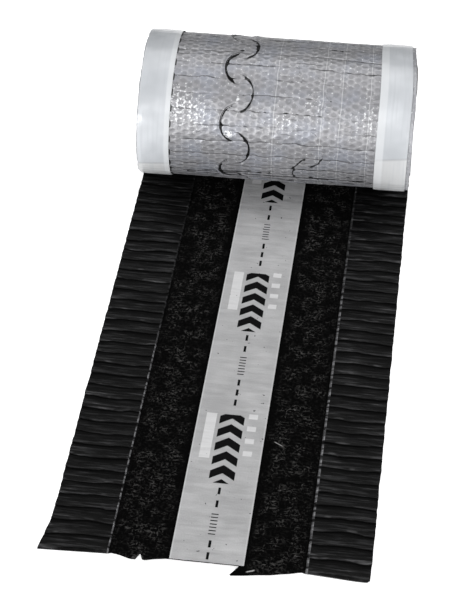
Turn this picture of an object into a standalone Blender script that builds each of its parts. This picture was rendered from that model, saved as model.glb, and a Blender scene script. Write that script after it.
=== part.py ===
"""Roll of ridge flashing, lying on its side with its free end drawn out flat.

A pleated aluminium sheet is wound into a coil. The free end, the tongue, lies on the
ground in front of it with the inner face up: pleated strips along both edges, a black
fleece between them and a pale strip along the middle. Underneath, each edge carries a
band of butyl with a release liner, and both run on around the outside of the coil.

Metres, +Z up, +X along the coil's axis, the tongue towards -Y, the ground at z = 0.
"""

import math

import bmesh
import bpy

# Sheet
SHEET_WIDTH = 0.310
SHEET_THICKNESS = 0.0012
TONGUE_LENGTH = 0.657

# Pleats across the side strips
PLEATED_STRIP_WIDTH = 0.0615
PLEAT_PITCH = 0.0182
PLEAT_RISE = 0.0010
PLEAT_VALLEY = 0.0002
PLEAT_FOLD_SHARE = 0.85
PLEAT_EDGE_INSET = 0.0008

# Coil
COIL_RADIUS = 0.0835
BORE_RADIUS = 0.0250
TURN_PITCH = 0.0042
TURN_STEP_DEPTH = 0.0020
TURN_STEP_WALL = 0.0006
TURN_EDGE_INSET = 0.0004
COIL_BEDDING = 0.00005
ROUND_STEPS = 48

# Butyl bands and their release liners
BUTYL_WIDTH = 0.0330
BUTYL_THICKNESS = 0.0008
LINER_WIDTH = 0.0360
LINER_THICKNESS = 0.0003
LINER_INSET_LEFT = 0.0010
LINER_INSET_RIGHT = 0.0040

# Fleece and centre strip
FLEECE_THICKNESS = 0.0010
CENTRE_STRIP_WIDTH = 0.0710
CENTRE_STRIP_THICKNESS = 0.0004

# Vent slits, in two serpentine rows under the fleece
SLIT_ROW_OFFSET = 0.0420
SLIT_SPACING = 0.0320
SLIT_HALF_LENGTH = 0.0210
SLIT_SWING = 0.0180
SLIT_WIDTH = 0.0016
SLIT_HALF_PHASE = math.radians(76.0)
SLIT_SEGMENTS = 5
SLIT_END_MARGIN = 0.0200
SLIT_CUTTER_DEPTH = 0.0030

# Fit between neighbouring pieces, and how meshes are welded and shaded
CLEARANCE = 0.0003
WELD_DISTANCE = 0.00001
SHARP_ANGLE = math.radians(25.0)

# Places that follow from the sizes
LINER_UNDERSIDE = 0.0
BUTYL_UNDERSIDE = LINER_UNDERSIDE + LINER_THICKNESS + CLEARANCE
SHEET_UNDERSIDE = BUTYL_UNDERSIDE + BUTYL_THICKNESS + CLEARANCE
SHEET_TOP = SHEET_UNDERSIDE + SHEET_THICKNESS
PLEAT_TOP = SHEET_TOP + PLEAT_RISE
FLEECE_UNDERSIDE = SHEET_TOP + CLEARANCE
FLEECE_TOP = FLEECE_UNDERSIDE + FLEECE_THICKNESS
CENTRE_STRIP_UNDERSIDE = FLEECE_TOP + CLEARANCE
CENTRE_STRIP_TOP = CENTRE_STRIP_UNDERSIDE + CENTRE_STRIP_THICKNESS

AXIS_HEIGHT = SHEET_UNDERSIDE + COIL_RADIUS - COIL_BEDDING
ROLL_RADIUS = AXIS_HEIGHT - LINER_UNDERSIDE
AXIS_Y = (TONGUE_LENGTH - ROLL_RADIUS) / 2.0
TONGUE_END_Y = AXIS_Y - TONGUE_LENGTH
STEP_ANGLE = 2.0 * math.pi / ROUND_STEPS

MIDDLE_WIDTH = SHEET_WIDTH - 2.0 * PLEATED_STRIP_WIDTH
PLEATS_WIDTH = PLEATED_STRIP_WIDTH - PLEAT_EDGE_INSET
PLEATS_CENTRE_X = (MIDDLE_WIDTH + PLEATS_WIDTH) / 2.0

FLAT = (0.0, 0.0, 0.0)
ACROSS_THE_SHEET = (math.pi / 2.0, 0.0, math.pi / 2.0)
AXIS_ALONG_X = (0.0, math.pi / 2.0, 0.0)


def clear_scene():
    for item in list(bpy.context.scene.objects):
        bpy.data.objects.remove(item, do_unlink=True)


def make_collection(name):
    collection = bpy.data.collections.new(name)
    bpy.context.scene.collection.children.link(collection)
    return collection


def make_material(name, colour, roughness, metallic=0.0):
    material = bpy.data.materials.new(name)
    material.use_nodes = True
    shader = material.node_tree.nodes["Principled BSDF"]
    shader.inputs["Base Color"].default_value = (*colour, 1.0)
    shader.inputs["Roughness"].default_value = roughness
    shader.inputs["Metallic"].default_value = metallic
    return material


def link_only(item, collection):
    for owner in list(item.users_collection):
        owner.objects.unlink(item)
    collection.objects.link(item)


def mark_as_cutter(item):
    item.hide_render = True
    item.display_type = "WIRE"


def mesh_copy(source, name, collection):
    """Return a mesh object of what the source shows once it is evaluated, and remove the source."""
    bpy.context.view_layer.update()
    evaluated = source.evaluated_get(bpy.context.evaluated_depsgraph_get())
    mesh = bpy.data.meshes.new_from_object(evaluated)
    matrix = source.matrix_world.copy()
    source_data = source.data
    bpy.data.objects.remove(source, do_unlink=True)
    if isinstance(source_data, bpy.types.Curve):
        bpy.data.curves.remove(source_data)
    mesh.name = name
    weld(mesh)
    item = bpy.data.objects.new(name, mesh)
    item.matrix_world = matrix
    collection.objects.link(item)
    return item


def weld(mesh):
    """Join vertices that share a place, and turn every face outwards."""
    work = bmesh.new()
    work.from_mesh(mesh)
    bmesh.ops.remove_doubles(work, verts=work.verts, dist=WELD_DISTANCE)
    bmesh.ops.recalc_face_normals(work, faces=work.faces)
    work.to_mesh(mesh)
    work.free()


def extruded_outlines(name, outlines, thickness, collection, location, rotation):
    """Make one solid for each closed outline, as thick as given, centred on the outline's plane."""
    curve = bpy.data.curves.new(name, "CURVE")
    curve.dimensions = "2D"
    curve.fill_mode = "BOTH"
    curve.extrude = thickness / 2.0
    for outline in outlines:
        spline = curve.splines.new("POLY")
        spline.points.add(len(outline) - 1)
        for point, (across, up) in zip(spline.points, outline):
            point.co = (across, up, 0.0, 1.0)
        spline.use_cyclic_u = True
    drawn = bpy.data.objects.new(name, curve)
    drawn.location = location
    drawn.rotation_euler = rotation
    collection.objects.link(drawn)
    return mesh_copy(drawn, name, collection)


def box(name, size, centre, collection):
    bpy.ops.mesh.primitive_cube_add(size=1.0, location=centre)
    item = bpy.context.active_object
    item.name = name
    item.data.name = name
    item.scale = size
    bpy.ops.object.transform_apply(location=False, rotation=False, scale=True)
    link_only(item, collection)
    return item


def add_boolean(item, other, operation):
    modifier = item.modifiers.new(f"{operation.lower()} {other.name}", "BOOLEAN")
    modifier.operation = operation
    modifier.object = other
    modifier.solver = "EXACT"


def nip_distance(height):
    """Distance from the coil's lowest line at which its outside clears a height on the tongue."""
    rise = height + CLEARANCE - SHEET_UNDERSIDE + COIL_BEDDING
    return math.sqrt(COIL_RADIUS**2 - (COIL_RADIUS - rise) ** 2)


def turn_end_profile():
    """Radius and half width of each turn's end, stepped like the edges of a wound sheet."""
    turns = max(1, round((COIL_RADIUS - BORE_RADIUS) / TURN_PITCH))
    pitch = (COIL_RADIUS - BORE_RADIUS) / turns
    half_width = SHEET_WIDTH / 2.0 - TURN_EDGE_INSET
    points = []
    for turn in range(turns):
        outer = COIL_RADIUS - turn * pitch
        inner = outer - pitch
        wall = TURN_STEP_WALL if turn < turns - 1 else 0.0
        points.append((outer, half_width))
        points.append((inner + wall, half_width - TURN_STEP_DEPTH))
    return points


def make_coil(name, collection):
    """Turn the wound sheet's profile around the coil's axis."""
    right_end = turn_end_profile()
    left_end = [(radius, -half) for radius, half in reversed(right_end)]
    profile = right_end[::-1] + left_end[::-1]
    count = len(profile)
    edges = [(index, (index + 1) % count) for index in range(count)]
    mesh = bpy.data.meshes.new(name)
    mesh.from_pydata([(radius, 0.0, along) for radius, along in profile], edges, [])
    drawn = bpy.data.objects.new(name, mesh)
    drawn.location = (0.0, AXIS_Y, AXIS_HEIGHT)
    drawn.rotation_euler = AXIS_ALONG_X
    collection.objects.link(drawn)
    screw = drawn.modifiers.new("turn", "SCREW")
    screw.axis = "Z"
    screw.steps = ROUND_STEPS
    screw.render_steps = ROUND_STEPS
    screw.use_merge_vertices = True
    screw.merge_threshold = WELD_DISTANCE
    screw.use_normal_calculate = True
    return mesh_copy(drawn, name, collection)


def pleat_outline():
    """Side view of a pleated strip, from half way down the sheet, climbing to each fold's near edge."""
    reach = TONGUE_LENGTH - 2.0 * PLEAT_EDGE_INSET
    count = max(1, round(reach / PLEAT_PITCH))
    pitch = reach / count
    base = SHEET_UNDERSIDE + SHEET_THICKNESS / 2.0
    valley = SHEET_TOP + PLEAT_VALLEY
    outline = [(-PLEAT_EDGE_INSET, base), (-PLEAT_EDGE_INSET, valley)]
    for fold in range(count):
        start = -PLEAT_EDGE_INSET - fold * pitch
        outline.append((start - pitch * PLEAT_FOLD_SHARE, PLEAT_TOP))
        outline.append((start - pitch, valley))
    outline.append((-PLEAT_EDGE_INSET - reach, base))
    return outline


def slit_outline(row_x, centre_y, side):
    """Closed outline of one slit: an elliptical arc that swings to the given side of its row."""
    half = SLIT_WIDTH / 2.0
    left_edge = []
    right_edge = []
    for step in range(SLIT_SEGMENTS + 1):
        phase = SLIT_HALF_PHASE * (2.0 * step / SLIT_SEGMENTS - 1.0)
        across = row_x + side * SLIT_SWING * math.cos(phase)
        along = centre_y + SLIT_HALF_LENGTH * math.sin(phase)
        normal_x = SLIT_HALF_LENGTH * math.cos(phase)
        normal_y = side * SLIT_SWING * math.sin(phase)
        length = math.hypot(normal_x, normal_y)
        shift_x = half * normal_x / length
        shift_y = half * normal_y / length
        left_edge.append((across - shift_x, along - shift_y))
        right_edge.append((across + shift_x, along + shift_y))
    return left_edge + right_edge[::-1]


def make_slit_cutter(collection):
    """All the slits of both rows, as separate solids in one cutter."""
    first_y = TONGUE_END_Y + SLIT_END_MARGIN + SLIT_HALF_LENGTH
    last_y = AXIS_Y - nip_distance(CENTRE_STRIP_TOP) - SLIT_END_MARGIN - SLIT_HALF_LENGTH
    count = max(0, int((last_y - first_y) / SLIT_SPACING)) + 1
    outlines = []
    for row_side in (-1.0, 1.0):
        for index in range(count):
            swing_side = 1.0 if index % 2 else -1.0
            centre_y = first_y + index * SLIT_SPACING
            outlines.append(slit_outline(row_side * SLIT_ROW_OFFSET, centre_y, swing_side))
    middle_height = SHEET_UNDERSIDE + SHEET_THICKNESS / 2.0
    cutter_height = SHEET_THICKNESS + SLIT_CUTTER_DEPTH
    cutter = extruded_outlines(
        "slit_cutter", outlines, cutter_height, collection, (0.0, 0.0, middle_height), FLAT
    )
    mark_as_cutter(cutter)
    return cutter


def make_sheet(parts, cutters):
    """The whole sheet: the coil, with the slit tongue and its two pleated strips joined to it."""
    tongue = box(
        "tongue",
        (SHEET_WIDTH, TONGUE_LENGTH, SHEET_THICKNESS),
        (0.0, AXIS_Y - TONGUE_LENGTH / 2.0, SHEET_UNDERSIDE + SHEET_THICKNESS / 2.0),
        cutters,
    )
    add_boolean(tongue, make_slit_cutter(cutters), "DIFFERENCE")
    mark_as_cutter(tongue)
    sheet = make_coil("flashing_sheet", parts)
    add_boolean(sheet, tongue, "UNION")
    for side_name, side in (("left", -1.0), ("right", 1.0)):
        pleats = extruded_outlines(
            f"pleats_{side_name}",
            [pleat_outline()],
            PLEATS_WIDTH,
            cutters,
            (side * PLEATS_CENTRE_X, AXIS_Y, 0.0),
            ACROSS_THE_SHEET,
        )
        mark_as_cutter(pleats)
        add_boolean(sheet, pleats, "UNION")
    return sheet


def band_outline(underside, thickness):
    """Side view of a band that lies under the tongue and then wraps the coil to the nip."""
    outer_radius = AXIS_HEIGHT - underside
    inner_radius = outer_radius - thickness
    needed = PLEAT_TOP + CLEARANCE - underside
    nip_angle = math.acos(1.0 - needed / outer_radius)
    facets = int((2.0 * math.pi - nip_angle) / STEP_ANGLE)
    outer = [(-TONGUE_LENGTH, underside)]
    inner = [(-TONGUE_LENGTH, underside + thickness)]
    for facet in range(facets + 1):
        angle = facet * STEP_ANGLE
        for edge, radius in ((outer, outer_radius), (inner, inner_radius)):
            edge.append((radius * math.sin(angle), AXIS_HEIGHT - radius * math.cos(angle)))
    return outer + inner[::-1]


def make_band(name, underside, thickness, width, centre_x, parts):
    return extruded_outlines(
        name, [band_outline(underside, thickness)], width, parts, (centre_x, AXIS_Y, 0.0), ACROSS_THE_SHEET
    )


def make_top_layer(name, width, underside, thickness, parts):
    """A flat layer on the tongue, from its free end to where the coil closes over it."""
    length = TONGUE_LENGTH - nip_distance(underside + thickness)
    return box(
        name,
        (width, length, thickness),
        (0.0, TONGUE_END_Y + length / 2.0, underside + thickness / 2.0),
        parts,
    )


def shade(item, material):
    """Give a piece its material, with its round stretches smooth and its edges sharp."""
    item.data.materials.clear()
    item.data.materials.append(material)
    item.data.shade_smooth()
    item.data.set_sharp_from_angle(angle=SHARP_ANGLE)


def main():
    clear_scene()
    parts = make_collection("roll_of_ridge_flashing")
    cutters = make_collection("cutters")

    sheet = make_sheet(parts, cutters)
    sheet = mesh_copy(sheet, "flashing_sheet", parts)
    shade(sheet, make_material("coated aluminium", (0.16, 0.165, 0.175), 0.38, 0.8))

    fleece_width = MIDDLE_WIDTH - 2.0 * CLEARANCE
    fleece = make_top_layer("vent_fleece", fleece_width, FLEECE_UNDERSIDE, FLEECE_THICKNESS, parts)
    shade(fleece, make_material("black fleece", (0.006, 0.006, 0.007), 0.95))

    strip = make_top_layer(
        "centre_strip", CENTRE_STRIP_WIDTH, CENTRE_STRIP_UNDERSIDE, CENTRE_STRIP_THICKNESS, parts
    )
    shade(strip, make_material("pale woven strip", (0.43, 0.43, 0.44), 0.7))

    butyl = make_material("butyl", (0.012, 0.012, 0.013), 0.6)
    liner = make_material("release liner", (0.72, 0.73, 0.75), 0.3)
    for side_name, side, inset in (("left", -1.0, LINER_INSET_LEFT), ("right", 1.0, LINER_INSET_RIGHT)):
        centre_x = side * (SHEET_WIDTH / 2.0 - inset - LINER_WIDTH / 2.0)
        band = make_band(
            f"butyl_{side_name}", BUTYL_UNDERSIDE, BUTYL_THICKNESS, BUTYL_WIDTH, centre_x, parts
        )
        shade(band, butyl)
        cover = make_band(
            f"liner_{side_name}", LINER_UNDERSIDE, LINER_THICKNESS, LINER_WIDTH, centre_x, parts
        )
        shade(cover, liner)


main()
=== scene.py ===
"""Dress the roll of ridge flashing: every surface that shows, its studio light and its camera.

The sheet is one ribbon. It lies flat as the tongue, turns up behind the coil, goes once around it and
winds on inside to the bore. Its fleece, its centre strip, its butyl bands and their release liners
follow the same line, each at its own distance from it. So every piece here is a grid over two
numbers, how far across the ribbon and how far along it, laid on that line.
"""

import logging
import math
from dataclasses import dataclass, field
from enum import Enum

import bpy
import numpy as np
from mathutils import Euler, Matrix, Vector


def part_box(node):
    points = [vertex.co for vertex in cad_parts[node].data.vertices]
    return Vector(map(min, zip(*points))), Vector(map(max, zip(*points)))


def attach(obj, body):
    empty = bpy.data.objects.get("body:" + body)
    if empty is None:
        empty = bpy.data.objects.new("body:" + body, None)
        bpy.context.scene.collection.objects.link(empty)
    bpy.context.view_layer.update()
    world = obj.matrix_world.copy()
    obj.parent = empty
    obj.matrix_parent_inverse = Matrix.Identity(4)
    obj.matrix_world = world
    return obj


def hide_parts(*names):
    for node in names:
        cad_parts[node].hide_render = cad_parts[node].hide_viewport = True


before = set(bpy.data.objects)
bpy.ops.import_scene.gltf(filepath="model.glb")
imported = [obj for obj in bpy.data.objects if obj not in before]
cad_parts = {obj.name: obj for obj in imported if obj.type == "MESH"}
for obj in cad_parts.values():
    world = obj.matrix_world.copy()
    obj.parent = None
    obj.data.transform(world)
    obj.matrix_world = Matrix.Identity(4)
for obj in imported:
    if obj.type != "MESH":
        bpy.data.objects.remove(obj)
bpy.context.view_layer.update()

LOG = logging.getLogger("ridge_roll")
MM = 0.001
FULL_TURN = 2.0 * math.pi
FLAT_MAP = "flat"
PLEAT_PITCH = 18.2 * MM

Tree = bpy.types.NodeTree
Socket = bpy.types.NodeSocket


def linear(hex_colour: str) -> tuple[float, float, float, float]:
    """Turn an sRGB colour into the linear one that a shader socket takes.

    Args:
        hex_colour: Six hex digits after a hash sign.

    Returns:
        Red, green, blue and an alpha of one.
    """
    channels = [int(hex_colour[start : start + 2], 16) / 255.0 for start in (1, 3, 5)]
    red, green, blue = (c / 12.92 if c <= 0.04045 else ((c + 0.055) / 1.055) ** 2.4 for c in channels)
    return red, green, blue, 1.0


def ease(value: np.ndarray) -> np.ndarray:
    """Clamp to the range from zero to one, with a smooth start and end: three squares less two cubes."""
    clamped = np.clip(value, 0.0, 1.0)
    return clamped * clamped * (3.0 - 2.0 * clamped)


def bump(distance: np.ndarray, width: float) -> np.ndarray:
    """A rounded bump of height one and the given half width: e to minus the squared ratio of the two."""
    return np.exp(-((distance / width) ** 2))


class Hand(Enum):
    """The two edges of the ribbon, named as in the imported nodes."""

    LEFT = "left"
    RIGHT = "right"


@dataclass(frozen=True)
class Ripples:
    """A smooth unevenness that is the same each time: sine waves with seeded directions and phases."""

    wavelength: float
    seed: int
    stretch: float = 1.0
    waves: int = 9

    def at(self, across: np.ndarray, along: np.ndarray) -> np.ndarray:
        """Sum the waves at each point.

        Args:
            across: Distance across the ribbon. It is divided by the stretch, which makes ridges across.
            along: Distance along the ribbon, of the same shape.

        Returns:
            Values mostly between minus one and one.
        """
        rng = np.random.default_rng(self.seed)
        heading = rng.uniform(0.0, FULL_TURN, self.waves)
        phase = rng.uniform(0.0, FULL_TURN, self.waves)
        scale = rng.uniform(0.7, 1.5, self.waves)
        total = np.zeros(np.broadcast(across, along).shape)
        for turn, start, size in zip(heading, phase, scale):
            travel = across / self.stretch * math.cos(turn) + along * math.sin(turn)
            total += np.sin(FULL_TURN * travel * size / self.wavelength + start)
        return total * 0.9 / math.sqrt(self.waves)


@dataclass(frozen=True)
class Layout:
    """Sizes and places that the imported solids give, in metres."""

    half_width: float
    tongue_length: float
    axis_y: float
    axis_z: float
    coil_radius: float
    strip_half_width: float
    strip_level: float
    fleece_half_width: float
    fleece_level: float
    butyl_level: float
    liner_spans: dict[Hand, tuple[float, float]]
    butyl_spans: dict[Hand, tuple[float, float]]

    @classmethod
    def from_frame(cls) -> "Layout":
        """Read the boxes of the nodes.

        Returns:
            The layout that every piece is built on.
        """
        sheet_low, sheet_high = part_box("flashing_sheet")
        _, liner_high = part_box("liner_left")
        butyl_low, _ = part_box("butyl_left")
        fleece_low, fleece_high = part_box("vent_fleece")
        strip_low, strip_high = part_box("centre_strip")
        axis_z = liner_high.z / 2.0
        axis_y = liner_high.y - axis_z
        return cls(
            half_width=sheet_high.x,
            tongue_length=axis_y - sheet_low.y,
            axis_y=axis_y,
            axis_z=axis_z,
            coil_radius=sheet_high.z - axis_z,
            strip_half_width=strip_high.x,
            strip_level=strip_low.z,
            fleece_half_width=fleece_high.x,
            fleece_level=fleece_low.z,
            butyl_level=butyl_low.z,
            liner_spans={hand: cls._span(f"liner_{hand.value}") for hand in Hand},
            butyl_spans={hand: cls._span(f"butyl_{hand.value}") for hand in Hand},
        )

    @staticmethod
    def _span(node: str) -> tuple[float, float]:
        """Lowest and highest place of a node across the roll."""
        low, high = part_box(node)
        return low.x, high.x


@dataclass(frozen=True)
class RibbonLine:
    """The line that the outside of the sheet follows, seen from the coil's end.

    Distance along it is zero at the coil's lowest point, negative on the tongue and positive around
    the coil. The coil is round for most of each turn. In the last part of a turn the radius falls by
    one turn's pitch, so that the sheet slips in on top of the turn below, as it does at the nip.
    """

    axis_y: float
    axis_z: float
    radius: float
    turn_pitch: float = 4.2 * MM
    turns: int = 14
    tuck_start: float = 0.72
    askew: float = math.radians(1.6)
    askew_run: float = 45.0 * MM
    samples_per_turn: int = 360
    half_width: float = 155.0 * MM
    drawn_in: float = 5.5 * MM
    drawn_from: tuple[float, float] = (0.23, 0.38)
    drawn_to: tuple[float, float] = (0.43, 0.63)

    @property
    def floor(self) -> float:
        """Height of the line on the tongue."""
        return self.axis_z - self.radius

    def draw_in(self, across: np.ndarray, turn: np.ndarray) -> np.ndarray:
        """Pull the right edge in over the top of the coil, where the roll was wound a little crooked.

        Args:
            across: Place across the roll.
            turn: Number of turns around the coil.

        Returns:
            The pull, towards the middle: it grows from a little right of the middle to the edge, comes
            in behind the top of each turn and goes out again past it.
        """
        share = turn - np.floor(turn)
        rising = ease((share - self.drawn_from[0]) / (self.drawn_from[1] - self.drawn_from[0]))
        falling = ease((self.drawn_to[1] - share) / (self.drawn_to[1] - self.drawn_to[0]))
        return self.drawn_in * rising * falling * ease((across / self.half_width - 0.3) / 0.7)

    def radius_at(self, turn: np.ndarray) -> np.ndarray:
        """Work out the line's radius.

        Args:
            turn: Number of turns around the coil.

        Returns:
            The radius less one pitch for each whole turn, and less the eased part of one past the tuck.
        """
        whole = np.floor(turn)
        tucked = ease((turn - whole - self.tuck_start) / (1.0 - self.tuck_start))
        return self.radius - self.turn_pitch * (whole + tucked)

    def _table(self) -> tuple[np.ndarray, np.ndarray]:
        """Measure the line.

        Returns:
            Turns, and the length along the line up to each: the running sum of radius times angle.
        """
        turn = np.linspace(0.0, float(self.turns), self.turns * self.samples_per_turn + 1)
        radius = self.radius_at(turn)
        steps = FULL_TURN * np.diff(turn) * (radius[1:] + radius[:-1]) / 2.0
        return turn, np.concatenate(([0.0], np.cumsum(steps)))

    def along_at(self, turn: float) -> float:
        """Length along the line at a number of turns."""
        turns, lengths = self._table()
        return float(np.interp(turn, turns, lengths))

    def place(self, across: np.ndarray, along: np.ndarray, outward: np.ndarray) -> np.ndarray:
        """Lay points on the line.

        Args:
            across: Place across the roll, which is the world's x.
            along: Distance along the line.
            outward: Distance from it, away from the coil's axis, and so downwards on the tongue.

        Returns:
            Points, with x, y and z in the last dimension. On the tongue y follows the distance along,
            and z falls with the distance outward. On the coil the point goes round the axis, starting
            straight below it, at the line's radius plus the distance outward. The coil sits a little
            askew: its points move back by the place across times the tangent of that angle, which comes
            in over the tongue's last stretch.
        """
        across, along, outward = np.broadcast_arrays(across, along, outward)
        turns, lengths = self._table()
        turn = np.interp(np.maximum(along, 0.0), lengths, turns)
        reach = self.radius_at(turn) + outward
        on_tongue = along < 0.0
        flat_z = self.floor - outward
        back = across * math.tan(self.askew) * ease(1.0 + along / self.askew_run)
        across = across - self.draw_in(across, turn)
        angle = FULL_TURN * turn
        y = np.where(on_tongue, self.axis_y + along, self.axis_y + reach * np.sin(angle)) + back
        z = np.where(on_tongue, flat_z, self.axis_z - reach * np.cos(angle))
        return np.stack([across, y, z], axis=-1)


@dataclass(frozen=True)
class GatheredFolds:
    """Fine folds across the roll, where its weight squeezes the turn: at the nip, and over the top."""

    places: tuple[tuple[float, float, float], ...] = (
        (458.0 * MM, 26.0 * MM, 1.0),
        (232.0 * MM, 30.0 * MM, 0.4),
    )
    height: float = 1.3 * MM
    half_width: float = 1.5 * MM
    least_slope: float = 30.0
    ripples: Ripples = Ripples(14.0 * MM, seed=27, stretch=9.0)

    def squeeze(self, along: np.ndarray) -> np.ndarray:
        """Work out how much the turn is squeezed.

        Args:
            along: Distance along the ribbon.

        Returns:
            The sum of a bump over each place's centre and reach, times its share.
        """
        return sum(share * bump(along - centre, reach) for centre, reach, share in self.places)

    def away(self, across: np.ndarray, along: np.ndarray) -> np.ndarray:
        """Measure how far each point is from the nearest valley, along the ribbon.

        Args:
            across: Distance across the roll.
            along: Distance along the ribbon.

        Returns:
            The ripples' value over their slope, which is the distance to where they pass zero.
        """
        value = self.ripples.at(across, along)
        step = 0.2 * MM
        slope = (self.ripples.at(across, along + step) - value) / step
        return value / np.maximum(np.abs(slope), self.least_slope)

    def relief(self, across: np.ndarray, along: np.ndarray) -> np.ndarray:
        """Shape the folds: a rounded groove along each valley, as deep as the turn is squeezed."""
        return -self.height * self.squeeze(along) * bump(self.away(across, along), self.half_width)


@dataclass
class Side:
    """One side of a piece: a grid of points, their flat places, and strengths that a finish reads."""

    points: np.ndarray
    flat: np.ndarray
    marks: dict[str, np.ndarray] = field(default_factory=dict)


def flat_places(across: np.ndarray, along: np.ndarray) -> np.ndarray:
    """Pair the two distances of each point, in metres, as its place in the flat map."""
    return np.stack(np.broadcast_arrays(across, along), axis=-1)


def make_shell(name: str, outer: Side, inner: Side, finishes: list[bpy.types.Material]) -> bpy.types.Object:
    """Join two grids with as many rows into one closed shell.

    Rows run along the ribbon and columns across it. The outer grid faces away from the coil's axis.
    A wall of quads joins the grids along both edges, and one face closes each end.

    Args:
        name: The piece's name.
        outer: The side away from the axis.
        inner: The side towards it, which may have fewer columns.
        finishes: Materials of the outer side, of the inner side, and of the edges.

    Returns:
        The object, at the origin, with its flat map and its strengths.
    """
    rows, outer_columns = outer.points.shape[:2]
    inner_columns = inner.points.shape[1]
    outer_ids = np.arange(rows * outer_columns).reshape(rows, outer_columns)
    inner_ids = np.arange(rows * inner_columns).reshape(rows, inner_columns) + rows * outer_columns

    def quads(first: np.ndarray, second: np.ndarray, third: np.ndarray, fourth: np.ndarray) -> np.ndarray:
        """Stack four corner arrays into one array of quads."""
        return np.stack([first.ravel(), second.ravel(), third.ravel(), fourth.ravel()], axis=1)

    outer_faces = quads(outer_ids[:-1, :-1], outer_ids[1:, :-1], outer_ids[1:, 1:], outer_ids[:-1, 1:])
    inner_faces = quads(inner_ids[:-1, :-1], inner_ids[:-1, 1:], inner_ids[1:, 1:], inner_ids[1:, :-1])
    right_wall = quads(outer_ids[:-1, -1], outer_ids[1:, -1], inner_ids[1:, -1], inner_ids[:-1, -1])
    left_wall = quads(inner_ids[:-1, 0], inner_ids[1:, 0], outer_ids[1:, 0], outer_ids[:-1, 0])
    first_end = np.concatenate([outer_ids[0], inner_ids[0, ::-1]])
    last_end = np.concatenate([inner_ids[-1], outer_ids[-1, ::-1]])
    faces = np.concatenate([outer_faces, inner_faces, right_wall, left_wall]).tolist()
    faces += [first_end.tolist(), last_end.tolist()]

    points = np.concatenate([outer.points.reshape(-1, 3), inner.points.reshape(-1, 3)])
    mesh = bpy.data.meshes.new(name)
    mesh.from_pydata(points.tolist(), [], faces)
    for finish in finishes:
        mesh.materials.append(finish)
    material = np.full(len(faces), 2, dtype=np.int32)
    material[: len(outer_faces)] = 0
    material[len(outer_faces) : len(outer_faces) + len(inner_faces)] = 1
    mesh.polygons.foreach_set("material_index", material)

    flat = np.concatenate([outer.flat.reshape(-1, 2), inner.flat.reshape(-1, 2)])
    corner_vertex = np.empty(len(mesh.loops), dtype=np.int32)
    mesh.loops.foreach_get("vertex_index", corner_vertex)
    layer = mesh.uv_layers.new(name=FLAT_MAP)
    layer.data.foreach_set("uv", flat[corner_vertex].astype(np.float32).ravel())
    for mark in set(outer.marks) | set(inner.marks):
        values = [
            side.marks.get(mark, np.zeros(side.points.shape[:2])).ravel() for side in (outer, inner)
        ]
        attribute = mesh.attributes.new(mark, "FLOAT", "POINT")
        attribute.data.foreach_set("value", np.concatenate(values).astype(np.float32))
    mesh.shade_smooth()
    mesh.set_sharp_from_angle(angle=math.radians(50.0))
    mesh.update()
    piece = bpy.data.objects.new(name, mesh)
    bpy.context.scene.collection.objects.link(piece)
    return piece


def add_node(
    tree: Tree, kind: str, inputs: list[object] | dict[str, object] | None = None, **settings: object
) -> Socket:
    """Add a shader node with its settings, values and links.

    Args:
        tree: The material's node tree.
        kind: The node's type, without the ShaderNode that each one starts with.
        inputs: Values, or the output sockets to link. A list fills the inputs that the settings leave
            switched on, in order, and a dictionary fills them by name.
        settings: Properties to set on the node.

    Returns:
        The first output that the settings leave switched on. Its node holds the others.
    """
    node = tree.nodes.new(f"ShaderNode{kind}")
    for setting, value in settings.items():
        setattr(node, setting, value)
    if isinstance(inputs, dict):
        filled = [(node.inputs[name], value) for name, value in inputs.items()]
    else:
        filled = list(zip([socket for socket in node.inputs if socket.enabled], inputs or []))
    for socket, value in filled:
        if isinstance(value, Socket):
            tree.links.new(value, socket)
        else:
            socket.default_value = value
    return next(socket for socket in node.outputs if socket.enabled)


def new_material(name: str) -> tuple[bpy.types.Material, Tree, bpy.types.Node]:
    """Start a material.

    Args:
        name: Its name.

    Returns:
        The material, its node tree and its Principled shader.
    """
    material = bpy.data.materials.new(name)
    material.use_nodes = True
    tree = material.node_tree
    return material, tree, tree.nodes["Principled BSDF"]


def flat_axes(tree: Tree) -> tuple[Socket, Socket, Socket]:
    """Read the piece's flat map.

    Args:
        tree: The material's node tree.

    Returns:
        The map itself, the distance across and the distance along, in metres.
    """
    flat = add_node(tree, "UVMap", uv_map=FLAT_MAP)
    across, along, _ = add_node(tree, "SeparateXYZ", [flat]).node.outputs
    return flat, across, along


def stripe(tree: Tree, value: Socket, centre: float, half: float, soft: float) -> Socket:
    """Draw a stripe.

    Args:
        tree: The material's node tree.
        value: The distance that the stripe is measured on.
        centre: The stripe's middle.
        half: Its half width.
        soft: How far each soft edge reaches beyond that.

    Returns:
        One within half a width of the centre, falling smoothly to zero over the soft edge.
    """
    away = add_node(tree, "Math", [value, centre], operation="SUBTRACT")
    size = add_node(tree, "Math", [away], operation="ABSOLUTE")
    return add_node(tree, "MapRange", [size, half + soft, half, 0.0, 1.0], interpolation_type="SMOOTHSTEP")


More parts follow.
